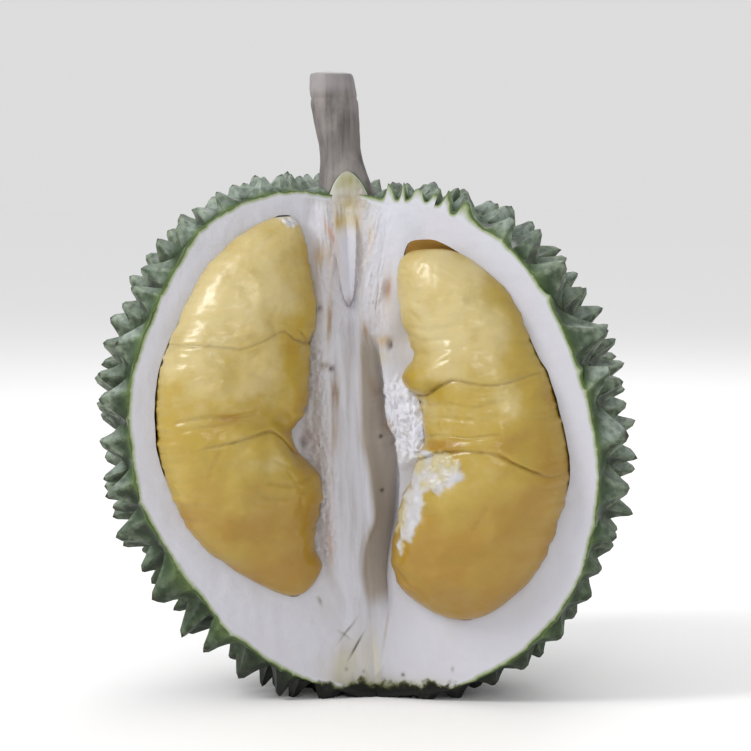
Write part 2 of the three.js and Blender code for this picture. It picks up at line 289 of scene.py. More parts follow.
class Body:
    """The husk's smooth surface between its spines, and its two cut faces."""

    def __init__(self, scene):
        self.husk = scene.durian_body
        cut = scene.durian_opening
        self.centre = Vector((0, 0, self.husk.centre_height))
        self.long_axis = self.leaning(self.husk.stretch_lean)
        self.crown = self.leaning(self.husk.crown_lean)
        self.core = self.leaning(cut.lean)
        self.across = Vector((math.cos(cut.lean), 0, math.sin(cut.lean)))
        self.foot = Vector((cut.foot_x, cut.foot_y, 0))
        self.cut_angle = cut.cut_angle
        self.faces = {side: self.face(side) for side in (-1, 1)}

    @staticmethod
    def leaning(lean):
        return Vector((-math.sin(lean), 0, math.cos(lean)))

    def face(self, side):
        """The direction out along a cut face, and the face's normal towards the opening."""
        outward = self.across * side * math.cos(self.cut_angle)
        outward.y = -math.sin(self.cut_angle)
        normal = self.across * -side * math.sin(self.cut_angle)
        normal.y = -math.cos(self.cut_angle)
        return outward, normal

    def rim_swell(self, foot):
        """How much fuller a valve is beside its cut face than behind it."""
        side = self.side_of(foot)
        behind = (foot - self.foot).dot(self.faces[side][1])
        fullness, reach = along(RIM_FULLNESS[side], foot.z / MM)
        apart = smooth(*CORE_ZONE, (foot - self.foot).dot(self.across) * side)
        return fullness * MM * bump(behind, reach * MM) * apart

    def radius(self, u):
        """Distance of the smooth surface from the centre, in a direction."""
        even = self.even_radius(u)
        return even + self.rim_swell(self.centre + u * even)

    def even_radius(self, u):
        husk = self.husk
        around = 1 - u.z * u.z
        from_crown = u.angle(self.crown)
        from_base = math.pi - u.angle(UP)
        turn = math.atan2(u.y, u.x) + self.cut_angle - math.pi / VALVES
        return (
            husk.mean_radius
            + husk.stretch * (2 * u.dot(self.long_axis) ** 2 - 1)
            + husk.girth * around**1.5
            + husk.unevenness * (3 * u.x - 4 * u.x**3)
            + husk.valve_swell * around * (1 + math.cos(VALVES * turn)) * 0.5
            - husk.crown_dimple * bump(from_crown, husk.crown_width)
            - husk.base_flat * bump(from_base, husk.base_width)
            + husk.scar * bump(from_base, husk.scar_width)
        )

    def place(self, u, height):
        """The point at a height over the smooth surface, in a direction."""
        return self.centre + u * (self.radius(u) + height)

    def rise(self, point):
        """Height of a point over the smooth surface, which is negative inside it."""
        arm = point - self.centre
        return arm.length - self.radius(arm.normalized())

    def on_face(self, side, out, forward, up):
        """The point out from the core and up along it, and forward of a cut face."""
        outward, normal = self.faces[side]
        return self.foot + self.core * up + outward * out + normal * forward

    def side_of(self, point):
        return 1 if (point - self.foot).dot(self.across) > 0 else -1


def turn_outward(bm):
    """Turns a closed body's faces outward."""
    bm.normal_update()
    bmesh.ops.recalc_face_normals(bm, faces=bm.faces[:])
    if bm.calc_volume(signed=True) < 0:
        bmesh.ops.reverse_faces(bm, faces=bm.faces[:])


# Faces that meet at a sharper angle than this keep their edge.
SHARP_ANGLE = math.radians(52)


def new_piece(name, bm, materials, replaced):
    """Makes the bmesh an object of the durian that rides with it and stands for CAD nodes."""
    mesh = bpy.data.meshes.new(name)
    for face in bm.faces:
        face.smooth = True
    for edge in bm.edges:
        edge.smooth = edge.calc_face_angle(0) < SHARP_ANGLE
    bm.to_mesh(mesh)
    bm.free()
    for material in materials:
        mesh.materials.append(material)
    piece = bpy.data.objects.new(name, mesh)
    bpy.context.collection.objects.link(piece)
    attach(piece, "root")
    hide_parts(*replaced)
    return piece


# ------------------------------------------------------------------ husk


def spiral_directions(body, spines):
    """Spine directions: a golden spiral from the crown to the base, crowded at both ends."""
    to_crown = UP.rotation_difference(body.crown)
    pitch = math.sqrt(4 * math.pi / spines.count)
    for k in range(spines.count):
        t = (k + 0.5) / spines.count
        even = math.acos(1 - 2 * t)
        polar = even + spines.crowding * (math.pi * t - even)
        jitter = spines.jitter * pitch * smooth(0, 0.3, math.sin(polar))
        theta = polar + jitter * (2 * draw(k, 1) - 1)
        phi = k * GOLDEN_ANGLE + jitter * (2 * draw(k, 2) - 1) / math.sin(polar)
        ring = math.sin(theta)
        u = Vector((ring * math.cos(phi), ring * math.sin(phi), math.cos(theta)))
        yield k, to_crown @ u


# Between these angles from the crown the right-hand cut slices a row of spines.
RIM_START, RIM_END = math.radians(12), math.radians(29)
RIM_FADE = 0.12


def rim_region(body, u):
    """From 0 to 1, how far a direction is on the upper right, where the cut slices spines."""
    if u.x < 0:
        return 0
    polar = u.angle(body.crown)
    return smooth(RIM_START - RIM_FADE, RIM_START, polar) * (
        1 - smooth(RIM_END, RIM_END + RIM_FADE, polar)
    )


# Times that a sliced spine's direction is brought back onto the cut, which settles it.
ROUNDS = 3


def sliced_directions(body, spines):
    """Spines that stand on the right-hand cut itself, from the stalk down the upper right."""
    outward, normal = body.faces[1]
    out = Vector((outward.x, outward.y, 0)).normalized()
    turn, index = RIM_START, 0
    while turn < RIM_END:
        u = (out * math.sin(turn) + body.crown * math.cos(turn)).normalized()
        for _ in range(ROUNDS):
            foot = body.place(u, 0)
            foot -= normal * (foot - body.foot).dot(normal)
            u = (foot - body.centre).normalized()
        yield u
        index += 1
        turn += spines.rim_step / body.radius(u) * (0.85 + 0.3 * draw(index, 17))


def spine_directions(body, spines):
    """The spiral's spines, moved off the cuts and mirrored across them."""
    sliced = list(sliced_directions(body, spines))
    kept = []
    beyond = []
    for k, u in spiral_directions(body, spines):
        if any(u.angle(other) * body.radius(u) < spines.nearest for other in sliced):
            continue
        foot = body.place(u, 0)
        normal = body.faces[body.side_of(foot)][1]
        ahead = (foot - body.foot).dot(normal)
        if ahead > spines.seam_reach:
            beyond.append(u)
        if ahead >= 0:
            continue
        margin = lerp(spines.nearest, spines.clear, draw(k, 4))
        if rim_region(body, u) > 0.5:
            margin = max(margin, spines.rim_step)
        behind = max(-ahead, margin)
        foot -= normal * (behind + ahead)
        kept.append((foot - body.centre).normalized())
        if behind < spines.seam_reach:
            foot += normal * 2 * behind
            beyond.append((foot - body.centre).normalized())
    return sliced + kept + beyond


# Where the husk is fuller beside the cut it swallows up to this share of a spine.
MOST_SWALLOWED = 0.3


def spine_height(body, spines, u, index):
    """A spine's height by its place on the fruit, with a little variety."""
    from_crown = u.angle(body.crown)
    at_crown = lerp(spines.at_crown, spines.at_crown_right, smooth(-0.05, 0.1, u.x))
    crown = lerp(at_crown, 1, smooth(0.25, 1.1, from_crown))
    stalk = smooth(0.08, 0.2, from_crown)
    base = lerp(spines.at_base, 1, smooth(-1, -0.6, u.z))
    growth = 1 - spines.growth * u.z
    variety = 0.84 + 0.3 * draw(index, 3)
    right = smooth(0.1, 0.4, u.x)
    high = lerp(1, spines.high_right, right * smooth(0.1, 0.4, u.z) * (1 - smooth(0.8, 0.92, u.z)))
    low = lerp(1, spines.low_right, right * smooth(0.15, 0.55, -u.z))
    height = spines.height * growth * crown * stalk * base * variety * high * low
    swell = max(body.rim_swell(body.place(u, 0)), 0)
    return height - min(swell, MOST_SWALLOWED * height)


def spine_net(body, spines):
    """A unit ball whose faces fan out from each spine's tip to the corners of its own cell.

    Its layers say how near a vertex is to the tip and to a corner, and how high and which
    way its spine stands."""
    bm = bmesh.new()
    to_tip = bm.verts.layers.float.new("to_tip")
    to_corner = bm.verts.layers.float.new("to_corner")
    height = bm.verts.layers.float.new("spine_height")
    lean = bm.verts.layers.float_vector.new("lean")
    for index, u in enumerate(spine_directions(body, spines)):
        tip = bm.verts.new(u)
        tip[to_tip] = 1
        tip[height] = spine_height(body, spines, u, index)
        sway = Vector([draw(index, salt) - 0.5 for salt in (5, 6, 7)])
        tip[lean] = (sway - u * sway.dot(u)) * 2 * spines.lean
    bmesh.ops.convex_hull(bm, input=bm.verts[:])
    tip_edges = bm.edges[:]
    corners = bmesh.ops.poke(bm, faces=bm.faces[:])["verts"]
    for corner in corners:
        tips = [edge.other_vert(corner) for edge in corner.link_edges]
        corner[to_tip] = 0
        corner[to_corner] = 1
        corner[height] = sum(tip[height] for tip in tips) / len(tips)
        corner[lean] = Vector()
        corner.co.normalize()
    valleys = bmesh.ops.rotate_edges(bm, edges=tip_edges)["edges"]
    halved = bmesh.ops.subdivide_edges(bm, edges=valleys, cuts=1)
    for middle in halved["geom_inner"]:
        if isinstance(middle, bmesh.types.BMVert):
            middle[to_corner] = 0
    bmesh.ops.subdivide_edges(
        bm, edges=bm.edges[:], cuts=spines.detail, use_grid_fill=True
    )
    return bm


# How hollow a spine's ridges and facets are, and the share of it that its tip rounds off.
RIDGE_POWER = 1.55
FACET_POWER = 2.7
TIP_ROUNDING = 0.14
# Nearer to the tip than this a spine has no ridges to tell apart.
AT_TIP = 0.999
# Beside a cut the spines keep this share of their height, and rise to it all over a slope.
RIM_HEIGHT = 0.38
RIM_SLOPE = 4.2 * MM
# The skin is fresh and light this far behind a cut.
RIM_TINT_REACH = 3.4 * MM


def spine_profile(near_tip, near_corner):
    """Share of the spine's height: straight ridges, hollow facets and a rounded tip."""
    ridge = near_corner / (1 - near_tip) if near_tip < AT_TIP else 0.5
    power = lerp(FACET_POWER, RIDGE_POWER, ridge**2)
    over = max(near_tip - (1 - TIP_ROUNDING), 0)
    blunt = near_tip - over * over / (2 * TIP_ROUNDING)
    return max(blunt, 0) ** power, ridge


def stand_spines(bm, body):
    """Moves the net's vertices out to the husk and its spines."""
    layers = bm.verts.layers
    to_tip, to_corner = layers.float["to_tip"], layers.float["to_corner"]
    height, lean = layers.float["spine_height"], layers.float_vector["lean"]
    ridge_layer = layers.float.new("ridge")
    beside_cut = layers.float.new("beside_cut")
    for vert in bm.verts:
        u = vert.co.normalized()
        profile, ridge = spine_profile(vert[to_tip], vert[to_corner])
        vert[ridge_layer] = ridge
        rough = 0.00022 * noise.noise(u * 60) + 0.00012 * noise.noise(u * 140)
        foot = body.place(u, 0)
        behind = abs((foot - body.foot).dot(body.faces[body.side_of(foot)][1]))
        vert[beside_cut] = 1 - smooth(0, RIM_TINT_REACH, behind)
        near_cut = lerp(RIM_HEIGHT, 1, smooth(0, RIM_SLOPE, behind))
        profile *= lerp(near_cut, 1, rim_region(body, u))
        vert.co = body.place(u, vert[height] * profile + rough)
        vert.co += vert[lean] * vert[to_tip] ** 1.5
        vert.co.z = max(vert.co.z, 0)
    turn_outward(bm)
    # Which way each vertex faces, up or down; the husk's colour uses it for painted light and shade.
    upper = layers.float.new("upper_side")
    for vert in bm.verts:
        vert[upper] = vert.normal.z


# A sliced spine's flesh lies nearer to its slanted skin than to its tip, by this share.
SLANT_SHARE = 0.18
# A vertex this near to a cut face lies on it.
CUT_REACH = 0.01 * MM
# Angle round the crown where the husk is open for the stalk.
STALK_ROOM = 0.07


def half_geometry(bm, body, side):
    """The bmesh's geometry on one side of the core."""
    faces = [f for f in bm.faces if body.side_of(f.calc_center_median()) == side]
    edges = {e for f in faces for e in f.edges}
    verts = {v for f in faces for v in f.verts}
    return [*verts, *edges, *faces]


def open_husk(bm, body):
    """Cuts the opened valves away, and the place where the stalk stands."""
    bmesh.ops.bisect_plane(
        bm,
        geom=bm.verts[:] + bm.edges[:] + bm.faces[:],
        plane_co=body.foot,
        plane_no=body.across,
    )
    for side in (-1, 1):
        bmesh.ops.bisect_plane(
            bm,
            geom=half_geometry(bm, body, side),
            plane_co=body.foot,
            plane_no=body.faces[side][1],
            clear_outer=True,
        )
    top = [
        face
        for face in bm.faces
        if (face.calc_center_median() - body.centre).angle(body.crown) < STALK_ROOM
    ]
    bmesh.ops.delete(bm, geom=top, context="FACES")
    loose = [vert for vert in bm.verts if not vert.link_faces]
    bmesh.ops.delete(bm, geom=loose, context="VERTS")


def on_cut(body, point):
    return abs((point - body.foot).dot(body.faces[body.side_of(point)][1])) < CUT_REACH


def line_husk(bm, body, skin):
    """Gives the husk its thickness: an inner wall under the spines and the cut rim.

    The indices that it returns are those of the hidden inner wall."""
    depth = bm.verts.layers.float.new("skin_depth")
    grown = bmesh.ops.extrude_face_region(bm, geom=bm.faces[:], use_normal_flip=True)
    inner = [v for v in grown["geom"] if isinstance(v, bmesh.types.BMVert)]
    bm.verts.index_update()
    for vert in inner:
        outer_point = vert.co.copy()
        u = (vert.co - body.centre).normalized()
        thickness = max(body.rise(vert.co), 0) + skin
        normal = body.faces[body.side_of(vert.co)][1]
        if on_cut(body, vert.co):
            u = (u - normal * u.dot(normal)).normalized()
        vert.co = outer_point - u * thickness
        vert.co.z = max(vert.co.z, skin)
        vert[depth] = skin + SLANT_SHARE * (thickness - skin)
    turn_outward(bm)
    return [vert.index for vert in inner if not on_cut(body, vert.co)]


def husk_bmesh(context):
    scene = context.scene
    body = Body(scene)
    bm = spine_net(body, scene.durian_spines)
    stand_spines(bm, body)
    open_husk(bm, body)
    inner = line_husk(bm, body, scene.durian_spines.skin)
    return bm, inner


# Share of the husk's faces that is left once its hidden inner wall has fewer of them.
KEPT_SHARE = 0.56


def thin_out(piece, hidden):
    """Gives a piece fewer faces at its hidden vertices."""
    group = piece.vertex_groups.new(name="hidden")
    group.add(hidden, 1, "REPLACE")
    modifier = piece.modifiers.new("fewer hidden faces", "DECIMATE")
    modifier.ratio = KEPT_SHARE
    modifier.vertex_group = "hidden"
    graph = bpy.context.evaluated_depsgraph_get()
    mesh = bpy.data.meshes.new_from_object(piece.evaluated_get(graph))
    piece.modifiers.remove(modifier)
    old = piece.data
    name = old.name
    piece.data = mesh
    bpy.data.meshes.remove(old)
    mesh.name = name
    piece.vertex_groups.clear()


# ------------------------------------------------------------------ materials


# Places of a Mix node's colour sockets, which share their names with its other sockets.
MIX_FIRST, MIX_SECOND, MIX_RESULT = 6, 7, 2


class Nodes:
    """Short ways to add nodes to one material."""

    def __init__(self, name):
        self.material = bpy.data.materials.new(name)
        self.material.use_nodes = True
        self.tree = self.material.node_tree
        self.shader = self.tree.nodes["Principled BSDF"]
        self.place = self.add("ShaderNodeTexCoord").outputs["Object"]

    def add(self, kind, **values):
        node = self.tree.nodes.new(kind)
        for name, value in values.items():
            setattr(node, name, value)
        return node

    def link(self, source, target):
        self.tree.links.new(source, target)

    def feed(self, socket, value):
        """Links a socket to an output, or gives it a colour or a number."""
        if isinstance(value, bpy.types.NodeSocket):
            self.link(value, socket)
        elif socket.type == "RGBA":
            socket.default_value = (*value, 1)
        else:
            socket.default_value = value

    def attribute(self, name):
        """A value that the mesh's vertices carry."""
        return self.add("ShaderNodeAttribute", attribute_name=name).outputs["Fac"]

    def noise(self, scale, detail=3.0, roughness=0.5, stretch=None):
        node = self.add("ShaderNodeTexNoise")
        node.inputs["Scale"].default_value = scale
        node.inputs["Detail"].default_value = detail
        node.inputs["Roughness"].default_value = roughness
        place = self.place
        if stretch:
            mapping = self.add("ShaderNodeMapping")
            mapping.inputs["Scale"].default_value = stretch
            self.link(self.place, mapping.inputs["Vector"])
            place = mapping.outputs["Vector"]
        self.link(place, node.inputs["Vector"])
        return node.outputs["Fac"]

    def cells(self, scale):
        """Distance to the nearest of many scattered points."""
        node = self.add("ShaderNodeTexVoronoi")
        node.inputs["Scale"].default_value = scale
        self.link(self.place, node.inputs["Vector"])
        return node.outputs["Distance"]

    def height(self):
        """Height over the floor."""
        node = self.add("ShaderNodeSeparateXYZ")
        self.link(self.place, node.inputs[0])
        return node.outputs["Z"]

    def math(self, operation, first, second=0.0):
        node = self.add("ShaderNodeMath", operation=operation)
        self.feed(node.inputs[0], first)
        self.feed(node.inputs[1], second)
        return node.outputs[0]

    def fit(self, value, low, high, to_low=0.0, to_high=1.0):
        """Maps a value's range onto another, smoothly and clamped."""
        node = self.add("ShaderNodeMapRange", interpolation_type="SMOOTHSTEP")
        self.feed(node.inputs["Value"], value)
        node.inputs["From Min"].default_value = low
        node.inputs["From Max"].default_value = high
        node.inputs["To Min"].default_value = to_low
        node.inputs["To Max"].default_value = to_high
        return node.outputs["Result"]

    def mix(self, amount, first, second):
        """A colour between two others."""
        node = self.add("ShaderNodeMix", data_type="RGBA")
        self.feed(node.inputs["Factor"], amount)
        self.feed(node.inputs[MIX_FIRST], first)
        self.feed(node.inputs[MIX_SECOND], second)
        return node.outputs[MIX_RESULT]

    def bump(self, height, strength, distance, under=None):
        node = self.add("ShaderNodeBump")
        node.inputs["Strength"].default_value = strength
        node.inputs["Distance"].default_value = distance
        self.link(height, node.inputs["Height"])
        if under is not None:
            self.link(under, node.inputs["Normal"])
        return node.outputs["Normal"]

    def finish(self, base, roughness, normal=None, **sockets):
        self.feed(self.shader.inputs["Base Color"], base)
        self.feed(self.shader.inputs["Roughness"], roughness)
        if normal is not None:
            self.link(normal, self.shader.inputs["Normal"])
        for name, value in sockets.items():
            self.shader.inputs[name.replace("_", " ")].default_value = value
        return self.material


# Painted light: the wax bloom and the spines' pale edges grow stronger between these heights, as if lit
# from above; the painted contact shadow at the base fades between the others.
PAINTED_LIGHT_HEIGHTS = (35 * MM, 105 * MM)
CONTACT_SHADOW_HEIGHTS = (3 * MM, 22 * MM)
# Depths under the husk's surface: where its outer skin gives way to the cut rim's colours,
# the dark skin to the green flesh under it, and that to white.
SKIN_START = (0.05 * MM, 0.3 * MM)
DARK_SKIN = (0, 0.8 * MM)
GREEN_FLESH = (0.4 * MM, 2 * MM)
RIM_UNEVEN = 0.5 * MM
# Heights where the painted contact shadow at the foot of the cut turns olive and then fades, and how
# ragged that is.
DARK_FOOT = (4.6 * MM, 6.8 * MM)
FOOT_SHADOW_EDGE = (5.6 * MM, 8.4 * MM)
FOOT_RAGGED = 2.2 * MM


def husk_material(finish):
    nodes = Nodes("waxy green husk")
    near_tip = nodes.attribute("to_tip")
    ridge = nodes.attribute("ridge")
    depth = nodes.attribute("skin_depth")
    upper = nodes.attribute("upper_side")
    patches = nodes.noise(34, 5)
    fine = nodes.noise(420, 3)
    # Painted shade: darker green down in the valleys between the spines.
    green = nodes.mix(nodes.fit(near_tip, 0.02, 0.26), finish.shaded_valley, finish.facet)
    # Painted shade: the spines' downward-facing sides are darker.
    green = nodes.mix(nodes.fit(upper, -0.6, 0.3, 0.9, 0.0), green, finish.shade)
    # Painted light: the wax bloom lies on upward-facing sides near the tips, as if lit from above.
    lit_wax = nodes.math("MULTIPLY", nodes.fit(upper, -0.25, 0.55), nodes.fit(near_tip, 0.14, 0.62))
    # Painted light: paler higher up, as if lit from above.
    painted_light_by_height = nodes.fit(nodes.height(), *PAINTED_LIGHT_HEIGHTS, 0.1, 1.0)
    lit_wax = nodes.math("MULTIPLY", lit_wax, painted_light_by_height)
    bloom_and_sheen = nodes.math("MULTIPLY", nodes.fit(patches, 0.38, 0.62, 0.4, 1.0), lit_wax)
    green = nodes.mix(bloom_and_sheen, green, finish.bloom_and_sheen)
    # The pale edges are partly worn and partly painted highlight, and they fade lower down as painted
    # light from above.
    edge = nodes.math("MULTIPLY", nodes.fit(ridge, 0.78, 1.0), nodes.fit(near_tip, 0.1, 0.5))
    worn_and_highlit = nodes.fit(nodes.noise(260, 4), 0.38, 0.6, 0.1, 0.6)
    worn_and_highlit = nodes.math("MULTIPLY", worn_and_highlit, nodes.fit(painted_light_by_height, 0, 1, 0.35, 1))
    green = nodes.mix(nodes.math("MULTIPLY", edge, worn_and_highlit), green, finish.ridge)
    dry = nodes.math("ADD", near_tip, nodes.math("MULTIPLY", patches, 0.3))
    green = nodes.mix(nodes.fit(dry, 0.98, 1.14), green, finish.tip)
    green = nodes.mix(nodes.fit(fine, 0.35, 0.75, 0.0, 0.55), green, finish.shade)
    fresh = nodes.math("MULTIPLY", nodes.attribute("beside_cut"), nodes.fit(fine, 0.3, 0.7, 0.35, 0.8))
    green = nodes.mix(fresh, green, finish.fresh_skin)
    # Painted contact shadow: the husk turns near-black towards the floor.
    under = nodes.fit(nodes.height(), *CONTACT_SHADOW_HEIGHTS, 1, 0)
    green = nodes.mix(under, green, finish.contact_shadow)
    cut = painted_foot_shadow(nodes, rim_colour(nodes, depth, finish), finish)
    base = nodes.mix(nodes.fit(depth, *SKIN_START), green, cut)
    normal = nodes.bump(fine, 0.4, 0.4 * MM)
    normal = nodes.bump(nodes.noise(120, 4), 0.6, 0.9 * MM, normal)
    roughness = nodes.fit(patches, 0.3, 0.7, 0.36, 0.54)
    return nodes.finish(base, roughness, normal, Specular_IOR_Level=0.3)


def rim_colour(nodes, depth, finish):
    """The cut rim's colour by depth: dark skin, yellow-green under it, then white."""
    uneven = nodes.fit(nodes.noise(85, 3), 0.3, 0.7, -RIM_UNEVEN, RIM_UNEVEN)
    wavy = nodes.math("ADD", depth, uneven)
    cut = nodes.mix(nodes.fit(wavy, *DARK_SKIN), finish.skin_line, finish.under_skin)
    return nodes.mix(nodes.fit(wavy, *GREEN_FLESH), cut, finish.pith)


def painted_foot_shadow(nodes, base, finish):
    """Paints contact shadow on the foot of the cut face, where the fruit meets the ground."""
    ragged = nodes.fit(nodes.noise(140, 5, 0.6), 0.3, 0.7, -FOOT_RAGGED, FOOT_RAGGED)
    low = nodes.math("ADD", nodes.height(), ragged)
    dark = nodes.mix(nodes.fit(low, *DARK_FOOT), finish.contact_shadow, finish.shadow_edge_olive)
    return nodes.mix(nodes.fit(low, *FOOT_SHADOW_EDGE, 1, 0), base, dark)


class BuildHusk(bpy.types.Operator):
    """Makes the green skin with its spines, cut where the fruit has parted"""

    bl_idname = "durian.build_husk"
    bl_label = "Husk"

    def execute(self, context):
        bm, inner = husk_bmesh(context)
        material = husk_material(context.scene.durian_finish)
        piece = new_piece("spiny_husk", bm, [material], ["rind"])
        thin_out(piece, inner)
        return {"FINISHED"}


# ------------------------------------------------------------------ pods


def straight_line(points, place):
    """Height of a line through points at a place, level beyond its ends."""
    if place <= points[0][0]:
        return points[0][1]
    for (x0, y0), (x1, y1) in zip(points, points[1:]):
        if place <= x1:
            return lerp(y0, y1, (place - x0) / (x1 - x0))
    return points[-1][1]


# A seam's height is the mean of its heights this far to the left and right, which rounds it.
SEAM_STEPS = (-1.2, -0.6, 0, 0.6, 1.2)


class Pod:
    """One opened pod on a cut face, all in millimetres.

    outline: height along the core, then distance from the core to the pod's inner and outer
    edges, and the room left beyond the outer edge. bases: heights of the pod's ends and of
    its seams before they bend. seams: points of each seam, as distance from the core and
    height. grooves: distance from the core, depth of the seam's groove and of the lip over
    it. tips: how blunt the pod's lower and upper ends are. top_room: the room over the top
    aril."""

    def __init__(self, side, outline, bases, seams, grooves, tips, top_room):
        self.side = side
        self.outline = outline
        self.bases = bases
        self.seams = seams
        self.grooves = grooves
        self.tips = tips
        self.top_room = top_room

    def seam_offset(self, index, out):
        """How far a seam lies above its base at a distance from the core."""
        if index in (0, 3):
            return 0
        points = self.seams[index - 1]
        heights = [straight_line(points, out + step) for step in SEAM_STEPS]
        return sum(heights) / len(heights) - self.bases[index]

    def bend(self, straight, out):
        """The height of a place on the bent pod that lay at a height on the straight one."""
        for index in range(3):
            low, high = self.bases[index], self.bases[index + 1]
            if straight <= high or index == 2:
                share_up = (straight - low) / (high - low)
                offsets = (self.seam_offset(index, out), self.seam_offset(index + 1, out))
                return straight + lerp(*offsets, share_up)
        return straight


PODS = {
    "left": Pod(
        side=-1,
        outline=[
            (184, 16, 33, 0.3),
            (178, 16, 43.5, 0.3),
            (170, 15.8, 53, 0.4),
            (160, 14.8, 60.5, 0.4),
            (150, 14.5, 66, 0.5),
            (140, 17.5, 71, 0.5),
            (130, 18.5, 75, 0.5),
            (116, 21, 77, 0.9),
            (108, 27, 77.2, 0.9),
            (101, 24, 77, 0.9),
            (95, 18.6, 76, 0.8),
            (88, 16.2, 74.5, 0.5),
            (79, 17.8, 71.5, 0.5),
            (70, 19.8, 67.5, 0.4),
            (62, 20, 62, 0.4),
            (55, 16.4, 55.6, 0.3),
            (48, 16, 48.2, 0.3),
            (40, 19.5, 37, 0.3),
        ],
        bases=(42.2, 101.5, 140.5, 184),
        seams=[
            [(14, 94), (28.5, 97), (33.8, 103), (37.4, 106.5), (43.8, 105.8), (53.4, 103.7), (80, 100)],
            [(14, 135), (26.5, 138.8), (31, 143), (39.3, 139.8), (47.4, 137.2), (59, 139.2), (80, 141)],
        ],
        grooves=[
            [(18, 1.6, 0.7), (32, 1.3, 0.6), (44, 0.8, 0.4), (58, 0.6, 0.3), (66, 0.0, 0.0), (80, 0, 0)],
            [(18, 1.2, 0.2), (30, 0.6, 0.1), (44, 0.5, 0.1), (58, 0.5, 0.2), (70, 0.4, 0.1), (80, 0, 0)],
        ],
        tips=(2.5, 3.6),
        top_room=0.5,
    ),
    "right": Pod(
        side=1,
        outline=[
            (172, 16, 43, 0.4),
            (165, 17, 49.4, 0.4),
            (156, 18.5, 57.8, 0.4),
            (148, 19.5, 63.3, 0.4),
            (140, 21.5, 66.2, 0.5),
            (133, 23.8, 68.4, 0.5),
            (126, 18.6, 70.6, 0.6),
            (119, 23.8, 73.8, 0.6),
            (108, 26, 77, 0.7),
            (98, 26, 79.5, 0.6),
            (88, 22, 80.2, 0.9),
            (78, 16.8, 78.4, 0.9),
            (70, 14, 75.4, 0.9),
            (60, 11, 72.4, 0.6),
            (50, 9.8, 68.4, 0.5),
            (42, 9.6, 65.5, 0.4),
            (28, 17, 57, 0.3),
        ],
        bases=(30, 89, 119.5, 168.8),
        seams=[
            [(20, 89), (29, 92.6), (37, 95), (48, 95.5), (58, 94.4), (64, 91), (76, 84), (84, 87)],
            [(20, 114.5), (31, 115.6), (37, 119), (43, 121.4), (56, 118.7), (61, 118.9), (78, 123.5)],
        ],
        grooves=[
            [(22, 2.4, 1.0), (34, 2.4, 1.0), (44, 1.0, 0.5), (58, 0.8, 0.3), (68, 1.4, 0.4), (78, 0.2, 0)],
            [(24, 1.8, 0.7), (34, 1.4, 0.6), (46, 0.7, 0.4), (60, 0.6, 0.3), (76, 0.5, 0.2)],
        ],
        tips=(2.3, 3.6),
        top_room=3.4,
    ),
}
ARIL_NAMES = ("bottom", "middle", "top")
# How blunt an aril's end is at a seam, and how far it runs under its neighbour there.
SEAM_POWER = 60
SEAM_OVERLAP = 0.6
# A pod's depth before and behind the cut face, over half its width.
FRONT_SHARE = 0.7
BACK_SHARE = 0.85


# ------------------------------------------------------------------ white pith

# The core's smooth wall faces the right-hand chamber. Height along the core, then the place of
# its front ridge and how far that stands out, and the place and depth of the crease behind it.
WALL = [
    (5, 1.3, 0.5, 2.8, 0.2),
    (24, 0.3, 1.3, 3.8, 0.6),
    (31, -0.8, 2.2, 6.0, -0.5),
    (36, -1.3, 3.2, 6.8, -2),
    (42, -2.1, 4.4, 7.0, -3.6),
    (50, -2.6, 5.6, 7.4, -5),
    (59.5, -0.8, 6.5, 9.2, -6.1),
    (68.7, 3.4, 7.2, 11.4, -6.5),
    (80, 3.1, 7.5, 13.0, -6.8),
    (91.5, 1.9, 7.6, 13.8, -6.8),
    (99, 0.2, 7.6, 13.2, -6.5),
    (104.7, 0.6, 7.6, 10.6, -5.8),
    (121.6, 1.5, 7.4, 10.0, -4.3),
    (132, 2.0, 6.8, 8.4, -2.2),
    (139, 2.6, 6.2, 6.5, 4.5),
    (150, 3.0, 5.5, 9.0, 4.8),
    (178, 3.5, 4.0, 9.0, 3.2),
    (192, 3.0, 2.0, 9.0, 1.0),
]
# Right of the crease: height, how far the torn edge stands out, over what width it rises, and
# where it has died away.
TORN_EDGE = [
    (5, 0.2, 3, 10),
    (36, 0.2, 3, 14),
    (50, -1, 3, 14),
    (70, 0.5, 2, 20),
    (86, 1.5, 1.6, 24),
    (92, 3, 1.0, 34),
    (100, 3.4, 0.9, 36),
    (118, 3.4, 0.9, 30),
    (124, 3, 1.2, 24),
    (132, 3.2, 2, 22),
    (139, 4.2, 4, 24),
    (150, 4, 5, 28),
    (178, 2.5, 6, 32),
    (192, 0.8, 6, 24),
]
# Left of the ridge: height, where the column starts, where it has its full height, and the
# place and depth of the furrow beside its front.
LEFT_STRIP = [
    (5, -4, -1.5, -2, 0.3),
    (24, -10, -5, -5.5, 0.2),
    (40, -17, -8, -9.5, 0.0),
    (54, -20, -11, -13, 0.4),
    (70, -21, -12, -12.4, 0.7),
    (92, -24, -12, -11, 0.9),
    (110, -23, -11, -9.6, 1.2),
    (126, -22, -11, -9.3, 1.2),
    (133, -21, -11, -10, 0.3),
    (150, -20, -10, -9, 0.2),
    (178, -16, -8, -8, 0.2),
    (192, -12, -6, -6, 0.0),
]
# The smooth tongue in front of the core: height, and its middle and half width there.
TONGUE = [
    (149.2, -0.9, 0.3),
    (152, -0.9, 1.9),
    (157, -0.9, 3.0),
    (164, -0.8, 3.9),
    (172, -0.6, 4.5),
    (184, -0.3, 5.0),
]
# How far the tongue stands out.
TONGUE_OUT = 2.0
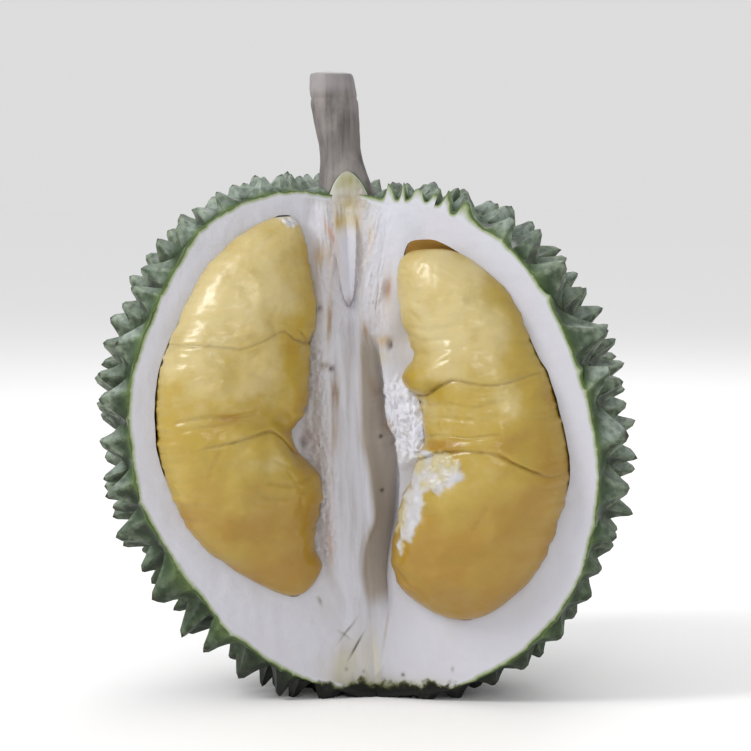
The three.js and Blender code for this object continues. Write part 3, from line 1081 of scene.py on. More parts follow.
# Small dents: place across and up, half width, half height, lean and depth.
DENTS = [
    (-9.6, 126.6, 1.0, 1.3, 0.0, 1.0),
    (-11.6, 128.4, 1.1, 0.9, 0.3, 1.2),
    (-12.9, 149.2, 0.5, 1.2, 0.3, 1.0),
    (-18.3, 138.4, 0.8, 1.6, 0.0, 1.2),
    (-9.0, 144.0, 1.2, 10.5, 0.1, 1.1),
    (8.2, 99.4, 0.45, 0.5, 0.0, 0.5),
    (7.4, 79.3, 0.5, 0.5, 0.0, 0.6),
    (-19.6, 39.2, 0.7, 1.7, -0.3, 0.7),
    (-6.6, 20.4, 0.45, 4.4, 0.65, 1.3),
    (-9.2, 27.2, 0.45, 4.2, 0.9, 0.9),
    (-10.6, 25.0, 0.4, 2.4, -1.2, 0.6),
    (14.4, 134.0, 0.9, 2.2, 0.0, 1.8),
    (14.6, 154.5, 1.3, 4.2, 0.15, 0.7),
    (4.9, 139.0, 0.9, 3.6, -0.15, 1.0),
    (-22.5, 99.5, 1.2, 2.0, 0.0, 1.4),
]


def oval(s, up, at, at_up, half, half_up, slant):
    """Distance from an oval's middle as a share of its size."""
    dy = up - at_up
    dx = s - at - slant * dy
    return math.hypot(dx / half, dy / half_up)


def crease_waver(up):
    """How far the torn edge beside the core's wall strays sideways."""
    return 0.9 * grain(up / 3.5, 7) + 0.6 * grain(up / 1.2, 3)


# How much the core's front ridge is worn down.
RIDGE_WEAR = 0.7


def column_relief(s, up):
    """How far the core and its two sides stand out."""
    ridge, out, crease, deep = along(WALL, up)
    start, full, furrow, furrow_depth = along(LEFT_STRIP, up)
    torn, rise, end = along(TORN_EDGE, up)
    ragged = smooth(86, 92, up) * (1 - smooth(122, 128, up))
    crease += ragged * crease_waver(up)
    wear = RIDGE_WEAR * smooth(30, 60, up) * (1 - smooth(125, 140, up))
    if s <= ridge:
        height = out * smooth(start, full, s) - wear * bump(s - ridge, 1)
        wobble = 0.5 * grain(up / 5, 11) + 0.3 * grain(up / 1.7, 13)
        width = 1.1 + 0.5 * grain(up / 4, 17)
        return height - furrow_depth * bump(s - furrow - wobble, width)
    if s <= crease:
        t = (s - ridge) / (crease - ridge)
        return lerp(out - wear * (1 - smooth(0, 0.12, t)), deep, t)
    height = lerp(deep, torn, smooth(0, rise, s - crease))
    return height * (1 - smooth(end - 12, end, s))


def tongue_share(s, up):
    """From 0 to 1, where the smooth tongue hangs in front of the core."""
    if up < TONGUE[0][0]:
        return 0.0
    middle, half = along(TONGUE, up)
    return (1 - smooth(0.88, 1.0, abs(s - middle) / half)) * (1 - smooth(174, 184, up))


def billow(x, y, salt=0.0):
    """Rounded lumps with sharp creases between them, about -0.5 to 1."""
    return 2.4 * abs(grain(x, y, salt)) - 0.5


def crumb_share(s, up):
    """From 0 to 1, where the torn white edge of the right-hand pod stands."""
    crease = along(WALL, up)[2] + crease_waver(up)
    ragged_top = 2.5 * grain(s / 3, 5)
    high = smooth(86, 93, up) * (1 - smooth(119, 124, up + ragged_top))
    return high * smooth(-0.2, 0.8, s - crease) * (1 - smooth(27, 33, s))


def strip_share(s, up):
    """From 0 to 1, where torn pith runs down between the left-hand pod and the core."""
    return smooth(44, 62, up) * (1 - smooth(132, 150, up)) * bump(s + 17, 5.5)


def texture_relief(s, up):
    """Fibres by the core, crumbs on the torn edges and the pith's own unevenness."""
    fan = 0.3 * max(up - 148, 0) * smooth(0, 9, s)
    warp = 1.2 * grain(s / 7, up / 11, 35)
    fibres = smooth(126, 142, up) * (1 - smooth(186, 194, up))
    fibres *= 1 - smooth(9, 17, abs(s - fan * 0.4))
    height = fibres * 0.3 * grain((s - fan) / 1.6 + warp, up / 9)
    height += fibres * 0.5 * grain((s - fan) / 0.9 + warp, up / 8, 5)
    height += fibres * 0.3 * grain(s / 2.4, up / 2.6, 19)
    height += fibres * 0.25 * billow(s / 1.3, up / 1.3, 21)
    strip = strip_share(s, up)
    height += strip * (0.5 * grain(s / 1.6, up / 5, 2) + 0.6 * billow(s / 2.3 + warp, up / 2.8, 4))
    height += strip * (0.45 * billow(s / 1.0, up / 1.0 + warp, 14) + 0.3 * grain(s / 0.6, up / 0.6, 16))
    crumbs = crumb_share(s, up)
    height += crumbs * (1.6 * grain(s / 5, up / 6, 8) + 1.0 * billow(s / 2.8 + warp, up / 3 - warp, 9))
    height += crumbs * (0.5 * billow(s / 1.2, up / 1.2 + warp, 10) + 0.3 * grain(s / 0.6, up / 0.6, 12))
    core = bump(s + 3, 9) * smooth(30, 45, up)
    height += core * 0.14 * grain(s / 1.4, up / 40, 27)
    height += 0.5 * grain(s / 18, up / 18, 1) + 0.2 * grain(s / 4, up / 4, 6)
    return height


def front_relief(s, up):
    """How far the opened face stands out at a place across and up, in millimetres."""
    tongue = tongue_share(s, up)
    height = column_relief(s, up) + texture_relief(s, up) * (1 - tongue) + TONGUE_OUT * tongue
    for at, at_up, half, half_up, slant, depth in DENTS:
        if abs(up - at_up) < 2 * half_up:
            height -= depth * bump(oval(s, up, at, at_up, half, half_up, slant), 0.9)
    return height


# The opened face is modelled this far out from the core and between these heights.
FACE_REACH = 112
FACE_LOW, FACE_HIGH = -3, 200
FACE_DETAIL = (300, 330)
# Near the core the relief stands out straight forward, and beyond this square to its face.
FOLD_WIDTH = 28
# Depths under the skin between which the relief fades in.
RELIEF_FROM, RELIEF_FULL = 1.6, 6
BLOCK_BACK = 0.14


def front_block(body):
    """A block whose front is the opened face, to be trimmed to the fruit."""
    bm = bmesh.new()
    across, high = FACE_DETAIL
    bmesh.ops.create_grid(bm, x_segments=across, y_segments=high, size=1)
    for vert in bm.verts:
        finer_in_the_middle = (vert.co.x + vert.co.x**3) / 2
        s = FACE_REACH * finer_in_the_middle
        up = lerp(FACE_LOW, FACE_HIGH, (vert.co.y + 1) / 2)
        side = 1 if s > 0 else -1
        flat = body.on_face(side, abs(s) * MM, 0, up * MM)
        inside = -body.rise(flat) / MM
        height = 0
        if inside > RELIEF_FROM:
            height = front_relief(s, up) * smooth(RELIEF_FROM, RELIEF_FULL, inside)
        way = FORWARD.lerp(body.faces[side][1], smooth(0, FOLD_WIDTH, abs(s)))
        vert.co = flat + way.normalized() * height * MM
    back = bmesh.ops.extrude_face_region(bm, geom=bm.faces[:], use_normal_flip=True)
    for vert in back["geom"]:
        if isinstance(vert, bmesh.types.BMVert):
            vert.co.y = BLOCK_BACK
    turn_outward(bm)
    return bm


def pith_ball(body, skin):
    """The space inside the skin."""
    bm = bmesh.new()
    bmesh.ops.create_icosphere(bm, subdivisions=6, radius=1)
    for vert in bm.verts:
        u = vert.co.normalized()
        vert.co = body.place(u, -skin)
        vert.co.z = max(vert.co.z, skin)
    return bm


# A vertex this near to an axis is a pole.
AT_POLE = 1e-6


def blunt_ball(around, high, low_power, high_power):
    """A unit ball with poles along Z, blunter at each end the higher that end's power."""
    bm = bmesh.new()
    bmesh.ops.create_uvsphere(bm, u_segments=around, v_segments=high, radius=1)
    for vert in bm.verts:
        ring = math.hypot(vert.co.x, vert.co.y)
        if ring < AT_POLE:
            continue
        power = low_power if vert.co.z < 0 else high_power
        wide = max(1 - abs(vert.co.z) ** power, 0) ** (1 / power)
        vert.co.x *= wide / ring
        vert.co.y *= wide / ring
    return bm


def pod_ball(body, pod, low, high, powers, detail, shape):
    """A pod's closed body between two heights of the straight pod.

    shape gives a place's distance from the core and its height, in millimetres, and how
    far it stands forward of the cut face."""
    bm = blunt_ball(*detail, *powers)
    for vert in bm.verts:
        x, y, z = vert.co
        straight = lerp(low, high, (z + 1) / 2)
        inner, outer, room = along(pod.outline, straight)
        out, forward, up = shape(vert, x, y, straight, (inner + outer) / 2, (outer - inner) / 2, room)
        vert.co = body.on_face(pod.side, out * MM, forward * MM, up * MM)
    turn_outward(bm)
    return bm


# Room round the arils: at a pod's inner edge they press into the torn pith.
INNER_ROOM = -0.3
DEPTH_ROOM = 1.2
END_ROOM = 0.4
CHAMBER_DETAIL = (144, 112)


def chamber(body, pod):
    """The room of a pod, a little larger than its arils."""

    def shape(vert, x, y, straight, middle, half, room):
        deep = FRONT_SHARE if y < 0 else BACK_SHARE
        ragged = 0.3 * grain(straight / 6, x * 4, 21 + pod.side) + 0.15 * grain(straight / 1.8, x * 9, 23)
        out = middle + (half + (room if x > 0 else INNER_ROOM)) * x + ragged
        return out, -(half * deep + DEPTH_ROOM) * y, pod.bend(straight, out)

    low, high = pod.bases[0] - END_ROOM, pod.bases[3] + pod.top_room
    return pod_ball(body, pod, low, high, pod.tips, CHAMBER_DETAIL, shape)


# The core's rounded end: its heights, half width, middle, how fast it widens from its top,
# the height where it has its full thickness, and how far its middle and front stand out.
CAP_LOW, CAP_HIGH = 168, 199.3
CAP_HALF = 7.9
CAP_MIDDLE = 1.2
CAP_SPREAD = 2.65
CAP_THICK = 186
CAP_FORWARD = 2.6
CAP_OUT = 4.8
CAP_DETAIL = 64


def cap_width(up):
    """Half the width of the core's rounded end."""
    below = CAP_SPREAD * max(CAP_HIGH - up, 0) ** 0.5
    above = CAP_HALF * max(up - CAP_LOW, 0) ** 0.5
    return min(below, above, CAP_HALF)


def core_cap(body):
    """The rounded end of the core, which leans on the stalk's foot."""
    bm = blunt_ball(CAP_DETAIL, CAP_DETAIL, 2, 2)
    for vert in bm.verts:
        x, y, z = vert.co
        ring = max(math.hypot(x, y), AT_POLE)
        up = lerp(CAP_LOW, CAP_HIGH, (z + 1) / 2)
        wide = cap_width(up) * (1 if ring > AT_POLE else 0)
        across = (CAP_MIDDLE + wide * x / ring + 0.4 * grain(up / 3, x * 2, 31)) * MM
        blunt = max(1 - (x / ring) ** 4, 0) ** 0.25 * (1 if y > 0 else -1)
        out = CAP_OUT * smooth(CAP_LOW, CAP_THICK, up) * ring**0.5
        vert.co = body.foot + body.core * up * MM + body.across * across
        vert.co.y += (CAP_FORWARD + out * blunt + 0.3 * grain(up / 2, x * 3, 33)) * MM
    turn_outward(bm)
    return bm


def loose_object(name, bm):
    mesh = bpy.data.meshes.new(name)
    bm.to_mesh(mesh)
    bm.free()
    made = bpy.data.objects.new(name, mesh)
    bpy.context.collection.objects.link(made)
    return made


def joined(block, steps):
    """The bmesh of a block after a chain of booleans with other shapes."""
    base = loose_object("block", block)
    tools = []
    for operation, shape in steps:
        tool = loose_object("tool", shape)
        tools.append(tool)
        modifier = base.modifiers.new(operation, "BOOLEAN")
        modifier.operation = operation
        modifier.solver = "MANIFOLD"
        modifier.object = tool
    bpy.context.view_layer.update()
    shaped = base.evaluated_get(bpy.context.evaluated_depsgraph_get())
    mesh = bpy.data.meshes.new_from_object(shaped)
    bm = bmesh.new()
    bm.from_mesh(mesh)
    bpy.data.meshes.remove(mesh)
    for made in [base, *tools]:
        old = made.data
        bpy.data.objects.remove(made)
        bpy.data.meshes.remove(old)
    return bm


# Stains on the white pith: place across and up, half width, half height, lean, colour, strength. The
# darkest rows sit in the dents above: their brown is partly the holes' own tissue and partly painted shade
# inside them.
STAINS = [
    (-17.0, 92, 5.0, 44, 0.0, colour(190, 181, 177), 0.6),
    (-10.0, 16, 8.5, 9.0, 0.5, colour(178, 172, 154), 0.65),
    (-8.0, 6, 11.0, 5.0, 0.0, colour(118, 114, 84), 0.8),
    (12.0, 4, 20.0, 3.0, 0.0, colour(150, 152, 112), 0.6),
    (-14.0, 158, 7.0, 16, 0.0, colour(188, 178, 176), 0.6),
    (14.0, 150, 6.0, 14, 0.1, colour(192, 184, 178), 0.6),
    (-4.6, 172, 1.3, 14, 0.0, colour(176, 168, 160), 0.6),
    (4.6, 168, 1.2, 14, 0.05, colour(184, 172, 158), 0.6),
    (0.0, 162, 4.6, 12, 0.0, colour(180, 178, 189), 0.85),
    # Painted shadow under the tip of the smooth tongue.
    (-0.7, 150.5, 1.8, 2.6, 0.0, colour(132, 120, 126), 0.8),
    (19.0, 136, 3.0, 8.0, 0.0, colour(206, 200, 196), 0.5),
    (1.2, 196, 14.0, 6.0, 0.0, colour(150, 146, 104), 0.95),
    (1.2, 187.5, 7.0, 3.6, 0.0, colour(162, 147, 112), 0.9),
    (-0.8, 190.0, 3.0, 0.8, 0.1, colour(120, 100, 84), 0.5),
    (0.4, 181.5, 5.4, 5.0, 0.0, colour(180, 162, 102), 0.85),
    (-3.0, 180.5, 1.4, 3.4, 0.1, colour(160, 132, 58), 0.7),
    (3.8, 180, 1.2, 3.2, -0.1, colour(164, 138, 66), 0.7),
    (-6.9, 177.5, 1.1, 4.2, -0.4, colour(208, 140, 88), 0.75),
    (-10.6, 168.8, 3.6, 4.6, 0.2, colour(186, 164, 132), 0.85),
    (-7.3, 168, 1.6, 9.5, -0.05, colour(190, 172, 150), 0.6),
    (8.6, 172, 1.6, 8.5, 0.15, colour(208, 184, 146), 0.6),
    (-9.0, 144.0, 1.2, 10.0, 0.1, colour(168, 136, 78), 0.9),
    (-12.9, 149.2, 0.8, 1.8, 0.3, colour(88, 80, 74), 0.8),
    (-18.3, 138.4, 1.6, 2.0, 0.0, colour(146, 92, 76), 0.8),
    (14.5, 155.0, 1.8, 4.8, 0.15, colour(150, 112, 84), 0.85),
    (4.9, 139.5, 1.1, 4.2, -0.15, colour(150, 118, 70), 0.85),
    (12.0, 135.5, 3.6, 2.6, 0.0, colour(190, 156, 96), 0.75),
    (14.6, 134.0, 0.9, 2.2, 0.0, colour(84, 60, 38), 0.95),
    (10.6, 129.5, 3.2, 3.2, 0.0, colour(188, 182, 152), 0.7),
    (6.6, 118.0, 1.6, 5.0, -0.2, colour(156, 128, 104), 0.5),
    (-9.5, 126.6, 1.0, 1.2, 0.0, colour(72, 46, 26), 0.95),
    (-11.8, 128.2, 2.4, 1.6, 0.3, colour(124, 112, 78), 0.8),
    (-9.0, 117.5, 1.5, 6.5, 0.1, colour(146, 122, 96), 0.8),
    (-7.4, 116.0, 0.8, 4.5, 0.15, colour(150, 128, 104), 0.7),
    (-9.6, 103.0, 1.6, 9.0, 0.05, colour(160, 142, 124), 0.75),
    (-11.2, 88.0, 1.1, 10.0, 0.05, colour(178, 164, 160), 0.6),
    (-12.8, 66.0, 0.9, 14.0, 0.05, colour(196, 176, 164), 0.55),
    (-14.2, 60.0, 0.7, 7.0, 0.0, colour(204, 160, 130), 0.6),
    (-20.5, 102.0, 2.8, 3.6, 0.0, colour(150, 126, 118), 0.7),
    (-22.5, 99.0, 1.2, 2.4, 0.0, colour(108, 92, 84), 0.8),
    (-19.6, 39.2, 0.8, 1.9, -0.3, colour(116, 118, 112), 0.85),
    (-6.6, 20.4, 0.5, 4.4, 0.65, colour(70, 66, 34), 0.95),
    (-9.2, 27.2, 0.5, 4.4, 0.9, colour(150, 146, 146), 0.8),
    (-10.6, 25.0, 0.5, 2.6, -1.2, colour(150, 146, 146), 0.8),
    (-9.5, 13.0, 9.0, 6.5, 0.3, colour(190, 188, 168), 0.6),
    (-4.4, 10.4, 0.7, 0.8, 0.0, colour(96, 100, 78), 0.8),
    (-11.0, 12.0, 0.7, 0.8, 0.0, colour(120, 124, 100), 0.8),
    (11.3, 8.6, 0.8, 0.7, 0.0, colour(58, 56, 40), 0.9),
    (31.0, 11.0, 0.6, 1.0, 0.0, colour(120, 120, 112), 0.7),
    (0.8, 16.0, 1.4, 10.0, -0.05, colour(206, 196, 172), 0.6),
    (5.6, 26.0, 0.5, 8.0, 0.22, colour(150, 116, 124), 0.6),
    (8.2, 99.4, 0.8, 0.7, 0.0, colour(70, 66, 58), 0.95),
    (7.4, 79.3, 0.85, 0.75, 0.0, colour(46, 42, 34), 1.0),
    (11.5, 103.5, 2.0, 2.2, 0.0, colour(176, 152, 122), 0.6),
    (24.5, 101.0, 2.4, 3.4, 0.3, colour(186, 190, 216), 0.6),
]


def stain_at(s, up):
    """The stain's colour and strength at a place on the opened face."""
    red, green, blue, cover = 0.0, 0.0, 0.0, 0.0
    for at, at_up, half, half_up, slant, shade, strength in STAINS:
        if abs(up - at_up) > 1.9 * half_up or abs(s - at) > 3 * half + 1.9 * half_up * abs(slant):
            continue
        amount = strength * bump(oval(s, up, at, at_up, half, half_up, slant), 1.0)
        red, green, blue = (lerp(old, new, amount) for old, new in zip((red, green, blue), shade))
        red, green, blue = shade if cover < 0.02 else (red, green, blue)
        cover = 1 - (1 - cover) * (1 - amount)
    return red, green, blue, cover


def rim_heights(body):
    """The cut skin's directions from the body's centre, and its height over the body there."""
    husk = bpy.data.objects.get("spiny_husk")
    if husk is None:
        raise RuntimeError("build the husk before the pith")
    depth = husk.data.attributes["skin_depth"].data
    rim = []
    for vert in husk.data.vertices:
        if depth[vert.index].value < CUT_REACH and on_cut(body, vert.co):
            rim.append(vert.co.copy())
    tree = KDTree(len(rim))
    for index, point in enumerate(rim):
        tree.insert((point - body.centre).normalized(), index)
    tree.balance()
    return tree, [max(body.rise(point), 0) for point in rim]


# Heights where the pocket over the right-hand top aril starts, which is lined all across.
POCKET_START = (162, 165)


def pod_depth(body, point, up):
    """How far behind the cut face a point lies inside a pod, in millimetres."""
    side = body.side_of(point)
    outward, normal = body.faces[side]
    arm = point - body.foot
    out = arm.dot(outward) / MM
    pod = next(pod for pod in PODS.values() if pod.side == side)
    inner, outer, room = along(pod.outline, up)
    within = smooth(-2.5, -1, outer + room - out) * smooth(0.3, 0.6, (out - inner) / (outer - inner))
    if side > 0 and out > inner:
        within = max(within, smooth(*POCKET_START, up))
    return -arm.dot(normal) / MM * within


# Where the marks are worked out: the rim's by depth under the skin, the pods' by height, the
# cap's by height, and the opened face's by distance from the core and from the middle plane.
RIM_ZONE = 12 * MM
POD_ZONE = (5, 190)
CAP_ZONE = (184, 188)
FACE_ZONE = 40
FACE_BACK = 0.012
# The core's cap has the rim's colours this deep.
CAP_RIM = 4 * MM


def mark_pith(bm, body):
    """Gives the pith's vertices their depth under the skin, their stains and their kind."""
    tree, heights = rim_heights(body)
    depth = bm.verts.layers.float.new("skin_depth")
    wall = bm.verts.layers.float.new("core_wall")
    crumb = bm.verts.layers.float.new("crumb")
    fibre = bm.verts.layers.float.new("fibre")
    rough = bm.verts.layers.float.new("rough")
    gap = bm.verts.layers.float.new("gap")
    stain = bm.verts.layers.float_color.new("stain")
    for vert in bm.verts:
        arm = vert.co - body.foot
        s = arm.dot(body.across) / MM / math.cos(body.cut_angle)
        up = arm.dot(body.core) / MM
        inside = -body.rise(vert.co)
        if inside < RIM_ZONE:
            nearest = tree.find((vert.co - body.centre).normalized())[1]
            inside += SLANT_SHARE * heights[nearest]
        elif POD_ZONE[0] < up < POD_ZONE[1]:
            vert[gap] = smooth(0.25, 1.6, pod_depth(body, vert.co, up))
        if up > CAP_ZONE[0] and abs(s - CAP_MIDDLE) < CAP_HALF:
            from_edge = CAP_RIM * smooth(0.15, 1.0, cap_width(up) - abs(s - CAP_MIDDLE))
            inside = lerp(inside, max(inside, from_edge), smooth(*CAP_ZONE, up))
        vert[depth] = inside
        if abs(s) > FACE_ZONE or vert.co.y > FACE_BACK:
            vert[stain] = (1, 1, 1, 0)
            continue
        vert[stain] = stain_at(s, up)
        ridge, _, crease, _ = along(WALL, up)
        between = smooth(-1.2, 1.6, s - ridge) * (1 - smooth(-0.2, 0.8, s - crease))
        vert[wall] = between * smooth(33, 42, up) * (1 - smooth(132, 148, up))
        vert[crumb] = crumb_share(s, up)
        vert[fibre] = bump(s + 2, 14) * smooth(20, 45, up)
        vert[rough] = max(vert[crumb], strip_share(s, up), 0.6 * bump(s - 8, 8) * smooth(126, 142, up))


# Heights where a pod's brown lining turns to the pocket's yellow, and depths under the skin
# where the rim's colours give way to the pith's own.
POCKET_HEIGHTS = (158 * MM, 165 * MM)
RIM_END_DEPTH = (1.8 * MM, 3 * MM)


def pith_material(finish):
    nodes = Nodes("white pith")
    depth = nodes.attribute("skin_depth")
    stain = nodes.add("ShaderNodeAttribute", attribute_name="stain")
    wall = nodes.attribute("core_wall")
    cloudy = nodes.noise(55, 5)
    fibres = nodes.noise(240, 4, stretch=(1, 1, 0.1))
    broad = nodes.noise(90, 3, stretch=(1, 1, 0.12))
    pores = nodes.noise(620, 4)
    base = nodes.mix(nodes.fit(cloudy, 0.4, 0.72, 0, 0.75), finish.pith, finish.pith_cloud)
    streak = nodes.math("MULTIPLY", nodes.fit(fibres, 0.42, 0.68, 0, 0.75), nodes.attribute("fibre"))
    base = nodes.mix(streak, base, finish.fibre)
    base = nodes.mix(nodes.math("MULTIPLY", nodes.attribute("crumb"), 0.85), base, finish.crumb)
    wall_colour = nodes.mix(nodes.fit(broad, 0.35, 0.7), finish.core_wall, finish.core_shade)
    base = nodes.mix(nodes.math("MULTIPLY", wall, 0.95), base, wall_colour)
    patchy = nodes.fit(fibres, 0.2, 0.75, 0.65, 1.2)
    amount = nodes.math("MULTIPLY", stain.outputs["Alpha"], patchy)
    base = nodes.mix(amount, base, stain.outputs["Color"])
    # The pocket's bright yellow is partly painted light in its shade.
    high = nodes.fit(nodes.height(), *POCKET_HEIGHTS)
    gap_colour = nodes.mix(high, finish.gap, finish.pocket)
    base = nodes.mix(nodes.attribute("gap"), base, gap_colour)
    rim = rim_colour(nodes, depth, finish)
    base = nodes.mix(nodes.fit(depth, *RIM_END_DEPTH), rim, base)
    base = painted_foot_shadow(nodes, base, finish)
    grains = nodes.math("MULTIPLY", pores, nodes.fit(nodes.attribute("rough"), 0, 1, 0.25, 1.0))
    normal = nodes.bump(grains, 0.9, 0.7 * MM)
    normal = nodes.bump(fibres, 0.4, 0.4 * MM, normal)
    return nodes.finish(
        base,
        nodes.fit(cloudy, 0.3, 0.7, 0.5, 0.7),
        normal,
        Specular_IOR_Level=0.25,
        Subsurface_Weight=0.1,
        Subsurface_Radius=(0.003, 0.0025, 0.002),
        Subsurface_Scale=1.0,
    )


# The pith reaches this far into the skin.
SKIN_OVERLAP = 0.05 * MM


class BuildPith(bpy.types.Operator):
    """Makes the white pith with the core, its torn edges and the rooms of the two pods"""

    bl_idname = "durian.build_pith"
    bl_label = "Pith"

    def execute(self, context):
        scene = context.scene
        body = Body(scene)
        skin = scene.durian_spines.skin
        bm = joined(
            front_block(body),
            [
                ("INTERSECT", pith_ball(body, skin - SKIN_OVERLAP)),
                ("UNION", core_cap(body)),
                ("DIFFERENCE", chamber(body, PODS["left"])),
                ("DIFFERENCE", chamber(body, PODS["right"])),
            ],
        )
        mark_pith(bm, body)
        new_piece("white_pith", bm, [pith_material(scene.durian_finish)], ["pith"])
        return {"FINISHED"}


# ------------------------------------------------------------------ arils

# Creases in the arils' skin: their points, half width and depth. The points are the distance
# from the core and the height along it.
CREASES = {
    "left": [
        ([(72, 112), (62, 113.5), (54, 113), (44, 114)], 0.9, 0.7),
        ([(70, 109), (60, 110), (50, 110.5)], 0.8, 0.4),
        ([(25, 142.5), (22, 139.5), (18.5, 136.5)], 0.35, 0.9),
        ([(58, 101), (61, 96), (63, 90)], 0.6, 0.35),
        ([(33, 152), (36, 146), (34, 141)], 1.2, 0.4),
        ([(44, 128), (38, 126), (33, 127)], 1.0, 0.5),
        ([(42, 121), (36, 119.5), (30, 121)], 0.9, 0.5),
        ([(38, 96), (32, 92.5), (26, 93)], 0.8, 0.5),
        ([(41, 88), (33, 86), (24, 87.5)], 0.8, 0.9),
        ([(43, 83), (35, 81.5), (27, 83)], 0.9, 0.8),
        ([(33, 91), (29, 84), (28, 78)], 0.7, 0.5),
    ],
    "right": [
        ([(25, 151), (31, 149.5), (36, 150.5)], 1.0, 0.2),
        ([(24, 146.5), (30, 144.5), (38, 145)], 1.0, 0.25),
        ([(26, 141), (34, 139.2), (46, 141.5)], 0.9, 0.3),
        ([(25, 137.5), (31, 135.5), (41, 136.5)], 0.9, 0.35),
        ([(24, 132.5), (33, 130.5), (47, 133.5)], 0.9, 0.4),
        ([(27, 127), (35, 126.5), (41, 129)], 0.8, 0.35),
        ([(50, 150), (58, 146), (64, 139)], 1.2, 0.4),
        ([(28, 111), (40, 112.5), (52, 111), (62, 113)], 0.9, 0.45),
        ([(27, 106.5), (38, 107.5), (50, 106.5)], 0.8, 0.35),
        ([(26, 99.5), (36, 101), (48, 100), (60, 101)], 0.7, 0.6),
        ([(55, 75), (51, 69.5), (47, 64)], 0.5, 0.6),
        ([(12, 55), (16, 49), (21, 44)], 0.9, 0.8),
        ([(11, 50), (14, 44.5), (18, 40)], 0.7, 0.7),
        ([(16, 62), (22, 57), (26, 50)], 0.9, 0.4),
    ],
}


def crease_relief(name, out, up):
    """How far a pod's skin is pressed in by the nearest crease."""
    depth = 0.0
    for points, width, deep in CREASES[name]:
        reach = 3 * width
        xs = [p[0] for p in points]
        ys = [p[1] for p in points]
        if not (min(xs) - reach < out < max(xs) + reach and min(ys) - reach < up < max(ys) + reach):
            continue
        nearest = min(distance_to_line(out, up, a, b) for a, b in zip(points, points[1:]))
        depth = max(depth, deep * bump(nearest, width))
    return -depth


def distance_to_line(x, y, a, b):
    """Distance of a place from the line between two points."""
    dx, dy = b[0] - a[0], b[1] - a[1]
    t = ((x - a[0]) * dx + (y - a[1]) * dy) / (dx * dx + dy * dy)
    t = min(max(t, 0), 1)
    return math.hypot(x - a[0] - t * dx, y - a[1] - t * dy)


# A seam changes the skin up to this far from it.
SEAM_REACH = 9


def seam_relief(pod, out, up):
    """The grooves between a pod's arils, each under the lip of the aril above it."""
    height, seam_shade = 0.0, 0.0
    for index in (1, 2):
        seam = pod.bases[index] + pod.seam_offset(index, out)
        above = up - seam + 0.35 * grain(out / 3, index, 71)
        if abs(above) > SEAM_REACH:
            continue
        deep, lip = along(pod.grooves[index - 1], out)
        deep *= 0.7 + 0.5 * grain(out / 2.6, index, 73)
        cut = bump(above, 0.75)
        height += lip * (bump(above - 2.0, 2.2) - 0.4 * bump(above + 1.6, 1.6)) - deep * cut
        # The second value is the mask for painted shade, darkest where the groove is deepest.
        seam_shade = max(seam_shade, cut**2 * min(deep, 1.4) / 1.4)
    return height, seam_shade


def skin_relief(pod, out, up):
    """Lumps and fine wrinkles of an aril's skin."""
    salt = 40 + 3 * pod.side
    height = 1.1 * grain(out / 15, up / 12, salt) + 0.5 * grain(out / 6, up / 5, salt + 1)
    warp = 1.0 * grain(out / 12, up / 12, salt + 2)
    patch = smooth(-0.1, 0.4, grain(out / 13, up / 17, salt + 3))
    height += 0.34 * patch * grain(out / 9, up / 3.0 + warp, salt + 5)
    height -= 0.22 * patch * bump(grain(out / 10, up / 4 + warp, salt + 4), 0.16)
    height += 0.16 * grain(out / 2.4, up / 2.2, salt + 6) + 0.05 * grain(out / 0.9, up / 0.9, salt + 7)
    return height


ARIL_DETAIL = (176, 128)


def aril_bmesh(body, name, index):
    """One aril of a pod. It runs a little under its neighbours at the seams."""
    pod = PODS[name]
    bottom, top = index == 0, index == 2
    low = pod.bases[index] - (0 if bottom else SEAM_OVERLAP)
    high = pod.bases[index + 1] + (0 if top else SEAM_OVERLAP)
    powers = (pod.tips[0] if bottom else SEAM_POWER, pod.tips[1] if top else SEAM_POWER)
    layers = {}

    def shape(vert, x, y, straight, middle, half, room):
        out = middle + half * x
        up = pod.bend(straight, out)
        front = smooth(0.0, 0.5, -y)
        deep = FRONT_SHARE if y < 0 else BACK_SHARE
        tear = torn_flesh(name, out, up)
        bumps, seam_shade = seam_relief(pod, out, up)
        bumps += skin_relief(pod, out, up) * (1 - 0.6 * tear)
        bumps += crease_relief(name, out, up)
        bumps += tear * (0.5 + 1.0 * grain(out / 5, up / 4.5, 45) + 0.8 * billow(out / 3, up / 2.7, 47))
        bumps += tear * 0.22 * grain(out / 0.9, up / 0.9, 49)
        frill = 0.8 * grain(up / 5, x, 81) + 0.5 * grain(up / 2.1, x, 83)
        out += frill * smooth(0.5, 1.0, abs(x))
        layers[vert.index] = (richness_and_shade(name, out, up, x), tear * front, seam_shade * front * (1 - tear))
        return out, -half * deep * y + bumps * front, up

    bm = pod_ball(body, pod, low, high, powers, ARIL_DETAIL, shape)
    for layer_name, column in (("richness_and_shade", 0), ("torn", 1), ("seam_shade", 2)):
        layer = bm.verts.layers.float.new(layer_name)
        for vert in bm.verts:
            vert[layer] = layers[vert.index][column]
    return bm


